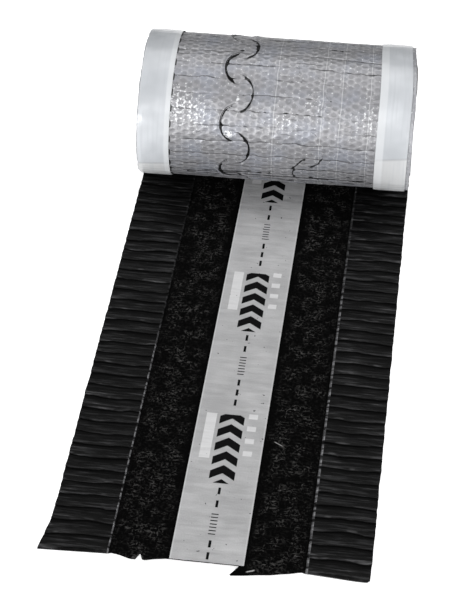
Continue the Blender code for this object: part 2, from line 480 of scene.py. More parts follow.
@dataclass(frozen=True)
class SlitRow:
    """A row of vent slits: arcs of ellipses that swing to either side in turn and overlap at their ends.

    The grid gives the foil its lifted lips, and the finish paints the gap near black, which is finer than the
    grid: painted shade in the opening, over the dark inside that would show there.
    """

    place: float
    gape: float
    lift: float
    wrinkle: float
    broken: float
    shown: tuple[float, float] = (190.0 * MM, 520.0 * MM)
    first: float = 262.5 * MM
    spacing: float = 33.2 * MM
    lag: float = 1.0 * MM
    swing: float = 17.2 * MM
    half_length: float = 22.0 * MM
    half_phase: float = math.radians(88.0)
    shaped_taper: float = 0.45
    drawn_taper: float = 0.2
    widest_at: float = 0.72
    shown_fade: float = 6.0 * MM
    # The lip, the sunk foil and the gap: distance outside the arc, half width, and share of the lift.
    swells: tuple[tuple[float, float, float], ...] = (
        (1.7 * MM, 1.5 * MM, 1.0),
        (-1.6 * MM, 1.7 * MM, -0.45),
        (0.0, 0.9 * MM, -0.9),
    )

    def relief(self, across: np.ndarray, along: np.ndarray) -> np.ndarray:
        """Work out how the slits shape the sheet.

        A point's distance from an arc is its scaled radius on the ellipse less one, over the slope of
        that radius. The foil drops at the gap, sinks within the arc and lifts outside it.

        Args:
            across: Distance across the roll.
            along: Distance along the ribbon.

        Returns:
            The height that the slits add.
        """
        x = across - self.place
        period = 2.0 * self.spacing
        start = self.first + np.where(x < 0.0, self.spacing + self.lag, 0.0)
        y = np.mod(along - start + self.spacing, period) - self.spacing
        radius = np.hypot(x / self.swing, y / self.half_length) + 1e-9
        slope = np.hypot(x / self.swing**2, y / self.half_length**2) / radius
        away = (radius - 1.0) / np.maximum(slope, 1e-6)
        phase = np.arctan2(np.abs(y) / self.half_length, np.abs(x) / self.swing)
        taper = ease((self.half_phase - phase) / self.shaped_taper)
        return self.lift * taper * sum(share * bump(away - place, half) for place, half, share in self.swells)

    def draw(self, tree: Tree, across: Socket, along: Socket, wave: Socket) -> Socket:
        """Draw the gaps with nodes, by the same distance from the same arcs, to be painted near black as
        shade.

        Args:
            tree: The material's node tree.
            across: Distance across the ribbon.
            along: Distance along the ribbon.
            wave: A noise from zero to one that widens, narrows and breaks the gaps.

        Returns:
            One in a gap and zero beside it.
        """
        x = add_node(tree, "Math", [across, self.place], operation="SUBTRACT")
        left = add_node(tree, "Math", [x, 0.0], operation="LESS_THAN")
        later = self.spacing + self.lag
        start = add_node(tree, "Math", [left, later, self.first - self.spacing], operation="MULTIPLY_ADD")
        shifted = add_node(tree, "Math", [along, start], operation="SUBTRACT")
        within = add_node(tree, "Math", [shifted, 2.0 * self.spacing], operation="FLOORED_MODULO")
        y = add_node(tree, "Math", [within, self.spacing], operation="SUBTRACT")
        place = add_node(tree, "CombineXYZ", [x, y])
        unit = (1.0 / self.swing, 1.0 / self.half_length, 0.0)
        scaled = add_node(tree, "VectorMath", [place, unit], operation="MULTIPLY")
        steep = add_node(tree, "VectorMath", [scaled, unit], operation="MULTIPLY")
        radius = add_node(tree, "VectorMath", [scaled], operation="LENGTH")
        slope = add_node(tree, "VectorMath", [steep], operation="LENGTH")
        less = add_node(tree, "Math", [radius, 1.0], operation="SUBTRACT")
        weighed = add_node(tree, "Math", [less, radius], operation="MULTIPLY")
        away = add_node(tree, "Math", [weighed, slope], operation="DIVIDE")
        size = add_node(tree, "Math", [away], operation="ABSOLUTE")
        quarter = add_node(tree, "VectorMath", [scaled], operation="ABSOLUTE")
        quarter_x, quarter_y, _ = add_node(tree, "SeparateXYZ", [quarter]).node.outputs
        phase = add_node(tree, "Math", [quarter_y, quarter_x], operation="ARCTAN2")
        tip = self.half_phase
        taper = add_node(tree, "MapRange", [phase, tip, tip - self.drawn_taper, 0.0, 1.0])
        width = add_node(tree, "MapRange", [wave, self.broken, self.widest_at, 0.0, self.gape])
        low, high = self.shown
        open_here = stripe(tree, along, (low + high) / 2.0, (high - low) / 2.0, self.shown_fade)
        parted = add_node(tree, "Math", [width, open_here], operation="MULTIPLY")
        half = add_node(tree, "Math", [parted, taper], operation="MULTIPLY")
        rest = add_node(tree, "Math", [half, size], operation="SUBTRACT")
        edge = [rest, -0.25 * MM, 0.1 * MM, 0.0, 1.0]
        return add_node(tree, "MapRange", edge, interpolation_type="SMOOTHSTEP")


@dataclass(frozen=True)
class EmbossedLacquer:
    """Grey stove lacquer on rolled aluminium foil, embossed with a net of six-sided cells.

    The raised net is painted lighter and the hollows between its lines darker: painted highlight and
    painted shade of the embossing, on top of its bump. Creases run across at each pleat, painted dark
    as shade in the folds, and small bright facets in a few patches are painted glints. The foil's grain
    is too fine to show, so it is drawn 2.2 millimetres coarse.
    """

    slit_rows: tuple[SlitRow, ...]
    # The net's tones, hollow, line and ridge: the lighter ones are painted highlight and the hollow is
    # painted shade of the embossing.
    hollow: str = "#7f7f82"
    line: str = "#8b8b8e"
    ridge: str = "#9b9b9d"
    cool: str = "#8d93a1"
    seam: str = "#c2c3c5"
    # Dark of the creases: painted shade in the folds, over their bump.
    crease: str = "#39393b"
    rim: str = "#95969a"
    # Near white of the painted glints, highlights painted into the colour.
    painted_glint: str = "#f0f2f4"
    # Near black of the slit gaps: painted shade in the openings.
    gap: str = "#0a0a0b"
    # Where the creases start to gather, where they are thickest, and how much painted crease shade that adds.
    gathered: tuple[tuple[float, float, float], ...] = (
        (365.0 * MM, 425.0 * MM, 0.42),
        (312.0 * MM, 250.0 * MM, 0.26),
    )
    # Places of the painted glints: across, along, how far each reaches, and the share of facets.
    painted_glint_places: tuple[tuple[float, float, float, float], ...] = (
        (-112.0 * MM, 345.0 * MM, 30.0 * MM, 0.15),
        (-92.0 * MM, 352.0 * MM, 26.0 * MM, 0.14),
        (44.0 * MM, 334.0 * MM, 18.0 * MM, 0.1),
        (-51.0 * MM, 376.0 * MM, 7.0 * MM, 0.34),
        (-44.0 * MM, 335.0 * MM, 4.0 * MM, 0.3),
        (106.0 * MM, 350.0 * MM, 26.0 * MM, 0.1),
        (12.0 * MM, 358.0 * MM, 16.0 * MM, 0.1),
    )
    cell_across: float = 7.5 * MM
    cell_along: float = 7.8 * MM
    net_height: float = 0.3 * MM
    stray_size: float = 18.0 * MM
    stray_reach: float = 2.8 * MM
    ridge_patch: float = 12.0 * MM
    cloud_size: float = 32.0 * MM
    break_size: float = 9.0 * MM
    facet_size: float = 2.6 * MM
    grain_size: float = 2.2 * MM
    wrinkle_size: float = 6.0 * MM
    waver_size: float = 16.0 * MM
    crease_patch: float = 17.0 * MM
    crease_soft: float = 0.55 * MM
    crease_shift: float = 0.33
    gather_depth: float = 0.7
    gather_half: float = 0.3 * MM
    gather_soft: float = 0.7 * MM
    # Kinds of crease: share of the pleat, half width, noise level from which it shows, and strength.
    creases: tuple[tuple[float, float, float, float], ...] = (
        (0.0, 0.3 * MM, 0.45, 0.75),
        (0.37, 0.12 * MM, 0.54, 0.6),
        (0.71, 0.12 * MM, 0.56, 0.5),
    )
    seams: tuple[float, ...] = (0.0, 53.0 * MM, 74.0 * MM, 106.0 * MM)
    seam_half: float = 0.25 * MM
    seam_soft: float = 0.5 * MM
    rim_span: tuple[float, float] = (148.0 * MM, 151.0 * MM)

    def _net(self, tree: Tree, across: Socket, along: Socket) -> Socket:
        """Draw the net: twice the product of two cosines, plus a third, peaks once in each cell.

        Args:
            tree: The material's node tree.
            across: Distance across the sheet, with the net's strays in it.
            along: Distance along it, likewise.

        Returns:
            One on the net's lines and zero in its cells.
        """
        waves = []
        for source, wavelength in (
            (across, 2.0 * self.cell_across),
            (along, self.cell_along),
            (across, self.cell_across),
        ):
            turned = add_node(tree, "Math", [source, FULL_TURN / wavelength], operation="MULTIPLY")
            waves.append(add_node(tree, "Math", [turned], operation="COSINE"))
        product = add_node(tree, "Math", waves[:2], operation="MULTIPLY")
        total = add_node(tree, "Math", [product, 2.0, waves[2]], operation="MULTIPLY_ADD")
        return add_node(tree, "MapRange", [total, 1.7, -1.5, 0.0, 1.0], interpolation_type="SMOOTHSTEP")

    def _painted_glints(self, tree: Tree, flat: Socket, net: Socket) -> Socket:
        """Place the painted glints: small bright facets painted in as highlights.

        Args:
            tree: The material's node tree.
            flat: The flat map.
            net: The embossed net, along which the facets gather.

        Returns:
            A share on a bright facet and zero beside it.
        """
        facets = add_node(
            tree,
            "TexNoise",
            {"Vector": flat, "Scale": 1.0 / self.facet_size, "Detail": 2.0, "Roughness": 0.7},
            noise_dimensions="2D",
        )
        shown = 0.0
        for across, along, reach, share in self.painted_glint_places:
            away = add_node(tree, "VectorMath", [flat, (across, along, 0.0)], operation="DISTANCE")
            patch = add_node(tree, "MapRange", [away, reach, 0.3 * reach, 0.0, share])
            shown = add_node(tree, "Math", [shown, patch], operation="MAXIMUM")
        placed = add_node(tree, "Math", [net, 0.1, shown], operation="MULTIPLY_ADD")
        total = add_node(tree, "Math", [facets, placed], operation="ADD")
        return add_node(tree, "MapRange", [total, 0.74, 0.86, 0.0, 0.7])

    def _folds(self, tree: Tree, flat: Socket, along: Socket) -> Socket:
        """Draw the creases at their places in each pleat, and the folds gathered where it is squeezed.

        The fold number wavers with a noise, and each kind of crease comes and goes along its length.

        Args:
            tree: The material's node tree.
            flat: The flat map.
            along: Distance along the sheet.

        Returns:
            The depth of the creases, from zero to one.
        """
        fold, gather, squeeze = (
            add_node(tree, "Attribute", attribute_name=mark).node.outputs["Fac"]
            for mark in ("fold", "gather", "squeeze")
        )
        waver = add_node(
            tree,
            "TexNoise",
            {"Vector": flat, "Scale": 1.0 / self.waver_size, "Detail": 3.0},
            noise_dimensions="2D",
        )
        wavering = add_node(tree, "Math", [waver, 0.34, fold], operation="MULTIPLY_ADD")
        extra = 0.0
        for none_at, full_at, most in self.gathered:
            more = add_node(tree, "MapRange", [along, none_at, full_at, 0.0, most])
            extra = add_node(tree, "Math", [extra, more], operation="ADD")
        # The gathered folds and the creases darken the colour as painted shade, and deepen the bump.
        valley = stripe(tree, gather, 0.0, self.gather_half, self.gather_soft)
        squeezed = add_node(tree, "Math", [valley, squeeze], operation="MULTIPLY")
        depth = add_node(tree, "Math", [squeezed, self.gather_depth], operation="MULTIPLY")
        for number, (share, half, least, most) in enumerate(self.creases):
            place = add_node(tree, "Math", [wavering, self.crease_shift - share], operation="ADD")
            part = add_node(tree, "Math", [place], operation="FRACT")
            inset = add_node(tree, "Math", [part, PLEAT_PITCH], operation="MULTIPLY")
            line = stripe(tree, inset, 0.5 * PLEAT_PITCH, half, self.crease_soft)
            offset = add_node(
                tree,
                "Mapping",
                {"Vector": flat, "Location": (0.31 * number, 0.17 * number, 0.0), "Scale": (0.45, 1.0, 1.0)},
                vector_type="POINT",
            )
            come_and_go = add_node(
                tree,
                "TexNoise",
                {"Vector": offset, "Scale": 1.0 / self.crease_patch, "Detail": 2.0},
                noise_dimensions="2D",
            )
            raised = add_node(tree, "Math", [come_and_go, extra], operation="ADD")
            strength = add_node(tree, "MapRange", [raised, least, least + 0.22, 0.0, most])
            drawn = add_node(tree, "Math", [line, strength], operation="MULTIPLY")
            depth = add_node(tree, "Math", [depth, drawn], operation="MAXIMUM")
        return depth

    def build(self) -> bpy.types.Material:
        """Make the material.

        Returns:
            The material of the sheet's outside.
        """
        material, tree, shader = new_material("grey embossed lacquer on aluminium foil")
        flat, flat_across, flat_along = flat_axes(tree)
        stray, cloud = (
            add_node(tree, "TexNoise", {"Vector": flat, "Scale": 1.0 / size}, noise_dimensions="2D")
            for size in (self.stray_size, self.cloud_size)
        )
        reach = (self.stray_reach, self.stray_reach, 0.0)
        shifted = add_node(
            tree, "VectorMath", [stray.node.outputs["Color"], reach, flat], operation="MULTIPLY_ADD"
        )
        across, along, _ = add_node(tree, "SeparateXYZ", [shifted]).node.outputs
        net = self._net(tree, across, along)
        patches, grain = (
            add_node(
                tree, "TexNoise", {"Vector": flat, "Scale": 1.0 / size, "Detail": 3.0}, noise_dimensions="2D"
            )
            for size in (self.ridge_patch, self.grain_size)
        )
        # Painted highlight on the net's ridges, in patches.
        ridge_share = add_node(tree, "MapRange", [patches, 0.4, 0.64, 0.05, 0.75])
        ridge = add_node(tree, "MapRange", [net, 0.78, 0.98, 0.0, 1.0])
        painted_ridge_highlight = add_node(tree, "Math", [ridge, ridge_share], operation="MULTIPLY")
        cooled = add_node(tree, "MapRange", [cloud, 0.45, 0.75, 0.0, 0.4])
        coats = [(net, self.line), (painted_ridge_highlight, self.ridge), (cooled, self.cool)]
        for place in self.seams:
            drawn = stripe(tree, across, place, self.seam_half, self.seam_soft)
            coats.append((add_node(tree, "Math", [drawn, 0.5], operation="MULTIPLY"), self.seam))
        folds = self._folds(tree, flat, flat_along)
        out = add_node(tree, "Math", [flat_across], operation="ABSOLUTE")
        rim = add_node(tree, "MapRange", [out, *self.rim_span, 0.0, 0.9])
        # Coats of painted crease shade, the plain rim and the painted glints.
        coats += [(folds, self.crease), (rim, self.rim), (self._painted_glints(tree, flat, net), self.painted_glint)]
        breaks = add_node(
            tree,
            "TexNoise",
            {"Vector": flat, "Scale": 1.0 / self.break_size, "Detail": 2.0},
            noise_dimensions="2D",
        )
        # The slit rows' gaps, painted near black as shade in the openings.
        for row in self.slit_rows:
            reach = (row.wrinkle, row.wrinkle, 0.0)
            warp = add_node(
                tree, "VectorMath", [breaks.node.outputs["Color"], reach, flat], operation="MULTIPLY_ADD"
            )
            bent_across, bent_along, _ = add_node(tree, "SeparateXYZ", [warp]).node.outputs
            coats.append((row.draw(tree, bent_across, bent_along, cloud), self.gap))
        colour = linear(self.hollow)
        for mask, coat in coats:
            colour = add_node(tree, "Mix", [mask, colour, linear(coat)], data_type="RGBA")

        drawn_out = add_node(
            tree, "Mapping", {"Vector": flat, "Scale": (0.07, 1.0, 1.0)}, vector_type="POINT"
        )
        wrinkles = add_node(
            tree,
            "TexNoise",
            {"Vector": drawn_out, "Scale": 1.0 / self.wrinkle_size, "Detail": 3.0},
            noise_dimensions="2D",
        )
        rough_relief = add_node(tree, "Math", [wrinkles, 2.2, grain], operation="MULTIPLY_ADD")
        relief = add_node(tree, "Math", [rough_relief, 0.45, net], operation="MULTIPLY_ADD")
        relief = add_node(tree, "Math", [folds, -1.6, relief], operation="MULTIPLY_ADD")
        raised = add_node(tree, "Bump", {"Strength": 1.0, "Distance": self.net_height, "Height": relief})
        gloss = add_node(tree, "MapRange", [grain, 0.3, 0.7, 0.3, 0.46])
        tree.links.new(colour, shader.inputs["Base Color"])
        tree.links.new(gloss, shader.inputs["Roughness"])
        tree.links.new(raised, shader.inputs["Normal"])
        shader.inputs["Metallic"].default_value = 0.25
        return material


@dataclass(frozen=True)
class BlackLacquer:
    """Black stove lacquer on the foil's inner face: a soft gloss, with fine creases across the roll.

    Paler streaks along its creases are part wear and part painted sheen, and the palest are painted glints.
    The pleats' crests carry painted highlights and their valleys painted shade. The finest creases are too
    fine to show, so they are drawn about three millimetres apart.
    """

    colour: str = "#020202"
    # Paler streak tones: wear with painted sheen, then painted glints.
    wear_and_sheen: str = "#3d3d3e"
    painted_streak_glint: str = "#5e5e5f"
    # Painted highlight on the pleats' crests.
    crest: str = "#7e7e7f"
    # Near black in the pleats' valleys: painted shade.
    valley: str = "#010101"
    glue_edge: str = "#858587"
    crease_size: float = 3.4 * MM
    crease_height: float = 1.1 * MM
    lit_patch: float = 24.0 * MM
    break_size: float = 7.0 * MM
    # Lines of glue beside the fleece: place, half width, where each starts and ends to fade, what is left.
    glue_lines: tuple[tuple[float, float, float, float, float], ...] = (
        (-94.6 * MM, 0.45 * MM, -360.0 * MM, -300.0 * MM, 0.1),
        (94.6 * MM, 0.9 * MM, -300.0 * MM, -150.0 * MM, 0.3),
    )
    glue_soft: float = 0.45 * MM

    def build(self) -> bpy.types.Material:
        """Make the material.

        Returns:
            The material of the sheet's inside.
        """
        material, tree, shader = new_material("black lacquer on aluminium foil")
        flat, across, along = flat_axes(tree)
        drawn_out = add_node(
            tree, "Mapping", {"Vector": flat, "Scale": (0.08, 1.0, 1.0)}, vector_type="POINT"
        )
        creases = add_node(
            tree,
            "TexNoise",
            {"Vector": drawn_out, "Scale": 1.0 / self.crease_size, "Detail": 4.0, "Roughness": 0.62},
            noise_dimensions="2D",
        )
        # Streak shares from the crease noise: wear with painted sheen, and painted glints on the brightest.
        wear_and_sheen_share = add_node(tree, "MapRange", [creases, 0.48, 0.76, 0.0, 1.0])
        painted_glint_share = add_node(tree, "MapRange", [creases, 0.66, 0.8, 0.0, 1.0])
        crest, deep = (
            add_node(tree, "Attribute", attribute_name=mark).node.outputs["Fac"]
            for mark in ("crest", "valley")
        )
        # Patches where the crests carry the painted highlight.
        lit_where = add_node(
            tree,
            "TexNoise",
            {"Vector": flat, "Scale": 1.0 / self.lit_patch, "Detail": 2.0},
            noise_dimensions="2D",
        )
        lit = add_node(tree, "MapRange", [lit_where, 0.62, 0.76, 0.02, 0.42])
        painted_crest_share = add_node(tree, "Math", [crest, lit], operation="MULTIPLY")
        glue = 0.0
        for place, half, fade_start, fade_end, left in self.glue_lines:
            drawn = stripe(tree, across, place, half, self.glue_soft)
            share = add_node(tree, "MapRange", [along, fade_start, fade_end, 1.0, left])
            faded = add_node(tree, "Math", [drawn, share], operation="MULTIPLY")
            glue = add_node(tree, "Math", [glue, faded], operation="MAXIMUM")
        breaks = add_node(
            tree,
            "TexNoise",
            {"W": along, "Scale": 1.0 / self.break_size, "Detail": 2.0},
            noise_dimensions="1D",
        )
        broken = add_node(tree, "MapRange", [breaks, 0.4, 0.62, 0.03, 0.9])
        shown = add_node(tree, "Math", [glue, broken], operation="MULTIPLY")
        colour = linear(self.colour)
        for mask, coat in (
            (wear_and_sheen_share, self.wear_and_sheen),
            (painted_glint_share, self.painted_streak_glint),
            (painted_crest_share, self.crest),
            # Painted shade in the valleys.
            (deep, self.valley),
            (shown, self.glue_edge),
        ):
            colour = add_node(tree, "Mix", [mask, colour, linear(coat)], data_type="RGBA")
        raised = add_node(tree, "Bump", {"Strength": 1.0, "Distance": self.crease_height, "Height": creases})
        gloss = add_node(tree, "MapRange", [deep, 0.0, 1.0, 0.34, 0.9])
        tree.links.new(colour, shader.inputs["Base Color"])
        tree.links.new(gloss, shader.inputs["Roughness"])
        tree.links.new(raised, shader.inputs["Normal"])
        shader.inputs["Specular IOR Level"].default_value = 0.09
        return material


@dataclass(frozen=True)
class CutFoilEdge:
    """The slit edge of the lacquered foil: dull grey, with bare metal where the knife passed."""

    dull: str = "#4b4a4a"
    bare: str = "#939292"
    nick_size: float = 4.0 * MM

    def build(self) -> bpy.types.Material:
        """Make the material.

        Returns:
            The material of the sheet's edges.
        """
        material, tree, shader = new_material("cut edge of aluminium foil")
        place = add_node(tree, "TexCoord").node.outputs["Object"]
        nicks = add_node(tree, "TexNoise", {"Vector": place, "Scale": 1.0 / self.nick_size, "Detail": 3.0})
        tone = add_node(tree, "Mix", [nicks, linear(self.dull), linear(self.bare)], data_type="RGBA")
        tree.links.new(tone, shader.inputs["Base Color"])
        shader.inputs["Metallic"].default_value = 0.6
        shader.inputs["Roughness"].default_value = 0.45
        return material


@dataclass(frozen=True)
class NonwovenFleece:
    """Needled black polyester fleece: matte, with paler tangles of fibre lying on it.

    Single fibres are too fine to show, so the tangles are drawn about four millimetres long.
    """

    colour: str = "#010101"
    tangle: str = "#4a4948"
    thread_and_glint_tone: str = "#8d8c8b"
    swirl_size: float = 9.0 * MM
    swirl_reach: float = 5.0 * MM
    fibre_size: float = 2.6 * MM
    fibre_height: float = 0.6 * MM
    straight_size: float = 1.9 * MM
    patch_size: float = 15.0 * MM
    tangled_middle: float = 66.0 * MM
    tangled_half: float = 17.0 * MM
    tangled_soft: float = 14.0 * MM
    # A loose thread, then a painted glint on the fold at the flap's edge: across, along, half length and
    # lean.
    threads_and_glint: tuple[tuple[float, float, float, float], ...] = (
        (50.4 * MM, -482.0 * MM, 6.5 * MM, math.radians(-32.0)),
        # Painted highlight: the glint on the flap, drawn as a pale line.
        (42.0 * MM, -661.0 * MM, 5.0 * MM, math.radians(16.0)),
    )

    def build(self) -> bpy.types.Material:
        """Make the material.

        Returns:
            The fleece's material.
        """
        material, tree, shader = new_material("black nonwoven fleece")
        flat, across, _ = flat_axes(tree)
        swirl = add_node(
            tree,
            "TexNoise",
            {"Vector": flat, "Scale": 1.0 / self.swirl_size, "Detail": 2.0},
            noise_dimensions="2D",
        )
        reach = (self.swirl_reach, self.swirl_reach, 0.0)
        shifted = add_node(
            tree, "VectorMath", [swirl.node.outputs["Color"], reach, flat], operation="MULTIPLY_ADD"
        )
        fibres = add_node(
            tree,
            "TexNoise",
            {"Vector": shifted, "Scale": 1.0 / self.fibre_size, "Detail": 4.0, "Roughness": 0.65},
            noise_dimensions="2D",
        )
        patches = add_node(
            tree,
            "TexNoise",
            {"Vector": flat, "Scale": 1.0 / self.patch_size, "Detail": 1.0},
            noise_dimensions="2D",
        )
        lying = fibres
        for stretch in ((0.28, 1.0, 1.0), (0.8, 0.45, 1.0)):
            turned = add_node(tree, "Mapping", {"Vector": shifted, "Scale": stretch}, vector_type="POINT")
            straight = add_node(
                tree,
                "TexNoise",
                {"Vector": turned, "Scale": 1.0 / self.straight_size, "Detail": 2.0},
                noise_dimensions="2D",
            )
            lying = add_node(tree, "Math", [lying, straight], operation="MAXIMUM")
        strands = add_node(tree, "MapRange", [lying, 0.58, 0.8, 0.0, 1.0])
        where = add_node(tree, "MapRange", [patches, 0.38, 0.66, 0.1, 1.0])
        out = add_node(tree, "Math", [across], operation="ABSOLUTE")
        middle = stripe(tree, out, self.tangled_middle, self.tangled_half, self.tangled_soft)
        here = add_node(tree, "Math", [where, middle], operation="MULTIPLY")
        coats = [(add_node(tree, "Math", [strands, here], operation="MULTIPLY"), self.tangle)]
        # A pale thread, and a painted glint drawn the same way.
        for across_at, along_at, half_length, lean in self.threads_and_glint:
            local = add_node(
                tree,
                "Mapping",
                {"Vector": flat, "Location": (across_at, along_at, 0.0), "Rotation": (0.0, 0.0, lean)},
                vector_type="TEXTURE",
            )
            lengthwise, crosswise, _ = add_node(tree, "SeparateXYZ", [local]).node.outputs
            long = stripe(tree, lengthwise, 0.0, 0.5 * half_length, 0.5 * half_length)
            thin = stripe(tree, crosswise, 0.0, 0.15 * MM, 0.75 * MM)
            coats.append((add_node(tree, "Math", [long, thin], operation="MULTIPLY"), self.thread_and_glint_tone))
        colour = linear(self.colour)
        for mask, coat in coats:
            colour = add_node(tree, "Mix", [mask, colour, linear(coat)], data_type="RGBA")
        raised = add_node(tree, "Bump", {"Strength": 0.8, "Distance": self.fibre_height, "Height": fibres})
        tree.links.new(colour, shader.inputs["Base Color"])
        tree.links.new(raised, shader.inputs["Normal"])
        shader.inputs["Roughness"].default_value = 0.95
        shader.inputs["Specular IOR Level"].default_value = 0.05
        return material


@dataclass(frozen=True)
class PrintedStrip:
    """Pale grey spunbonded strip: matte, faintly clouded and rippled, and printed in black and white.

    Dashes mark the ridge, with plain ticks between them, and blocks of arrowheads point along it, each
    beside a pale bar and pale squares. Single filaments are too fine to show, so the web is drawn 1.6
    millimetres coarse.
    """

    low_ground: str = "#a3a3a4"
    high_ground: str = "#b5b5b6"
    border: str = "#b9b9ba"
    ink: str = "#060607"
    pale_ink: str = "#cfcfd0"
    half_width: float = 35.5 * MM
    length: float = 657.0 * MM
    repeat: float = 239.0 * MM
    sharp: float = 0.1 * MM
    block_start: float = 109.0 * MM
    block_length: float = 103.0 * MM
    block_half_width: float = 12.5 * MM
    arrow_pitch: float = 20.6 * MM
    arrow_stroke: float = 0.58
    arrow_slope: float = 0.75
    dashes: tuple[float, ...] = (8.0 * MM, 24.0 * MM, 79.5 * MM, 98.0 * MM, 231.0 * MM)
    dash_half_length: float = 4.8 * MM
    dash_half_width: float = 1.25 * MM
    ticks: tuple[float, float] = (36.0 * MM, 68.0 * MM)
    tick_pitch: float = 4.6 * MM
    tick_share: float = 0.3
    tick_half_length: float = 3.4 * MM
    bar_length: float = 68.0 * MM
    bar_across: tuple[float, float] = (-26.5 * MM, -16.0 * MM)
    square_pitch: float = 18.7 * MM
    square_along: tuple[float, float] = (2.0 * MM, 9.5 * MM)
    square_across: tuple[float, float] = (16.5 * MM, 25.5 * MM)
    squares_length: float = 70.0 * MM
    squares_past: float = 4.0 * MM
    web_size: float = 1.6 * MM
    cloud_size: float = 35.0 * MM
    speck_size: float = 6.0 * MM
    ripple_size: float = 13.0 * MM

    def _within(self, tree: Tree, value: Socket, low: float, high: float) -> Socket:
        """One where the value lies between two limits, with a sharp edge."""
        return stripe(tree, value, (low + high) / 2.0, (high - low) / 2.0, self.sharp)

    def _join(self, tree: Tree, marks: list[list[Socket]]) -> Socket:
        """Join the printed marks into one mask.

        Args:
            tree: The material's node tree.
            marks: For each mark, the masks whose product it is.

        Returns:
            The largest of the marks at each point.
        """
        printed = 0.0
        for first, *others in marks:
            mark = first
            for mask in others:
                mark = add_node(tree, "Math", [mark, mask], operation="MULTIPLY")
            printed = add_node(tree, "Math", [printed, mark], operation="MAXIMUM")
        return printed

    def _ink(self, tree: Tree, across: Socket, along: Socket) -> tuple[Socket, Socket]:
        """Place the print.

        Args:
            tree: The material's node tree.
            across: Distance across the strip.
            along: Distance along the ribbon, which is minus the tongue's length at its free end.

        Returns:
            The masks of the black print and of the pale print.
        """
        from_end = add_node(tree, "Math", [along, self.length], operation="ADD")
        place = add_node(tree, "Math", [from_end, self.repeat], operation="FLOORED_MODULO")
        block_end = self.block_start + self.block_length
        middle = stripe(tree, across, 0.0, self.dash_half_width, self.sharp)
        marks = [
            [stripe(tree, place, centre, self.dash_half_length, self.sharp), middle]
            for centre in self.dashes
        ]
        tick_place = add_node(tree, "Math", [place, self.tick_pitch], operation="FLOORED_MODULO")
        marks.append([
            self._within(tree, tick_place, 0.0, self.tick_share * self.tick_pitch),
            stripe(tree, across, 0.0, self.tick_half_length, self.sharp),
            self._within(tree, place, *self.ticks),
        ])
        out = add_node(tree, "Math", [across], operation="ABSOLUTE")
        slanted = add_node(tree, "Math", [out, self.arrow_slope, place], operation="MULTIPLY_ADD")
        arrow_place = add_node(tree, "Math", [slanted, self.arrow_pitch], operation="FLOORED_MODULO")
        marks.append([
            self._within(tree, arrow_place, 0.0, self.arrow_pitch * self.arrow_stroke),
            stripe(tree, across, 0.0, self.block_half_width, self.sharp),
            self._within(tree, place, self.block_start, block_end),
        ])
        square_place = add_node(tree, "Math", [place, self.square_pitch], operation="FLOORED_MODULO")
        pale_marks = [
            [
                self._within(tree, place, block_end - self.bar_length, block_end),
                self._within(tree, across, *self.bar_across),
            ],
            [
                self._within(tree, square_place, *self.square_along),
                self._within(tree, place, block_end - self.squares_length, block_end + self.squares_past),
                self._within(tree, across, *self.square_across),
            ],
        ]
        return self._join(tree, marks), self._join(tree, pale_marks)

    def build(self) -> bpy.types.Material:
        """Make the material.

        Returns:
            The centre strip's material.
        """
        material, tree, shader = new_material("printed spunbonded strip")
        flat, across, along = flat_axes(tree)
        web = add_node(
            tree,
            "TexNoise",
            {"Vector": flat, "Scale": 1.0 / self.web_size, "Detail": 3.0},
            noise_dimensions="2D",
        )
        cloud = add_node(
            tree, "TexNoise", {"Vector": flat, "Scale": 1.0 / self.cloud_size}, noise_dimensions="2D"
        )
        grey = add_node(tree, "Math", [web, 0.35, cloud], operation="MULTIPLY_ADD")
        shade = add_node(tree, "MapRange", [grey, 0.45, 0.95, 0.0, 1.0])
        out = add_node(tree, "Math", [across], operation="ABSOLUTE")
        rim = stripe(tree, out, self.half_width, 1.0 * MM, 0.9 * MM)
        specks = add_node(
            tree,
            "TexNoise",
            {"Vector": flat, "Scale": 1.0 / self.speck_size, "Detail": 2.0},
            noise_dimensions="2D",
        )
        speck = add_node(tree, "MapRange", [specks, 0.765, 0.785, 0.0, 0.8])
        black, pale = self._ink(tree, across, along)
        colour = linear(self.low_ground)
        for mask, coat in (
            (shade, self.high_ground),
            (rim, self.border),
            (pale, self.pale_ink),
            (black, self.ink),
            (speck, self.ink),
        ):
            colour = add_node(tree, "Mix", [mask, colour, linear(coat)], data_type="RGBA")
        pulled = add_node(tree, "Mapping", {"Vector": flat, "Scale": (0.3, 1.0, 1.0)}, vector_type="POINT")
        ripples = add_node(
            tree,
            "TexNoise",
            {"Vector": pulled, "Scale": 1.0 / self.ripple_size, "Detail": 2.0},
            noise_dimensions="2D",
        )
        surface = add_node(tree, "Math", [ripples, 7.0, web], operation="MULTIPLY_ADD")
        raised = add_node(tree, "Bump", {"Strength": 0.8, "Distance": 0.2 * MM, "Height": surface})
        tree.links.new(colour, shader.inputs["Base Color"])
        tree.links.new(raised, shader.inputs["Normal"])
        shader.inputs["Roughness"].default_value = 0.75
        shader.inputs["Specular IOR Level"].default_value = 0.08
        return material


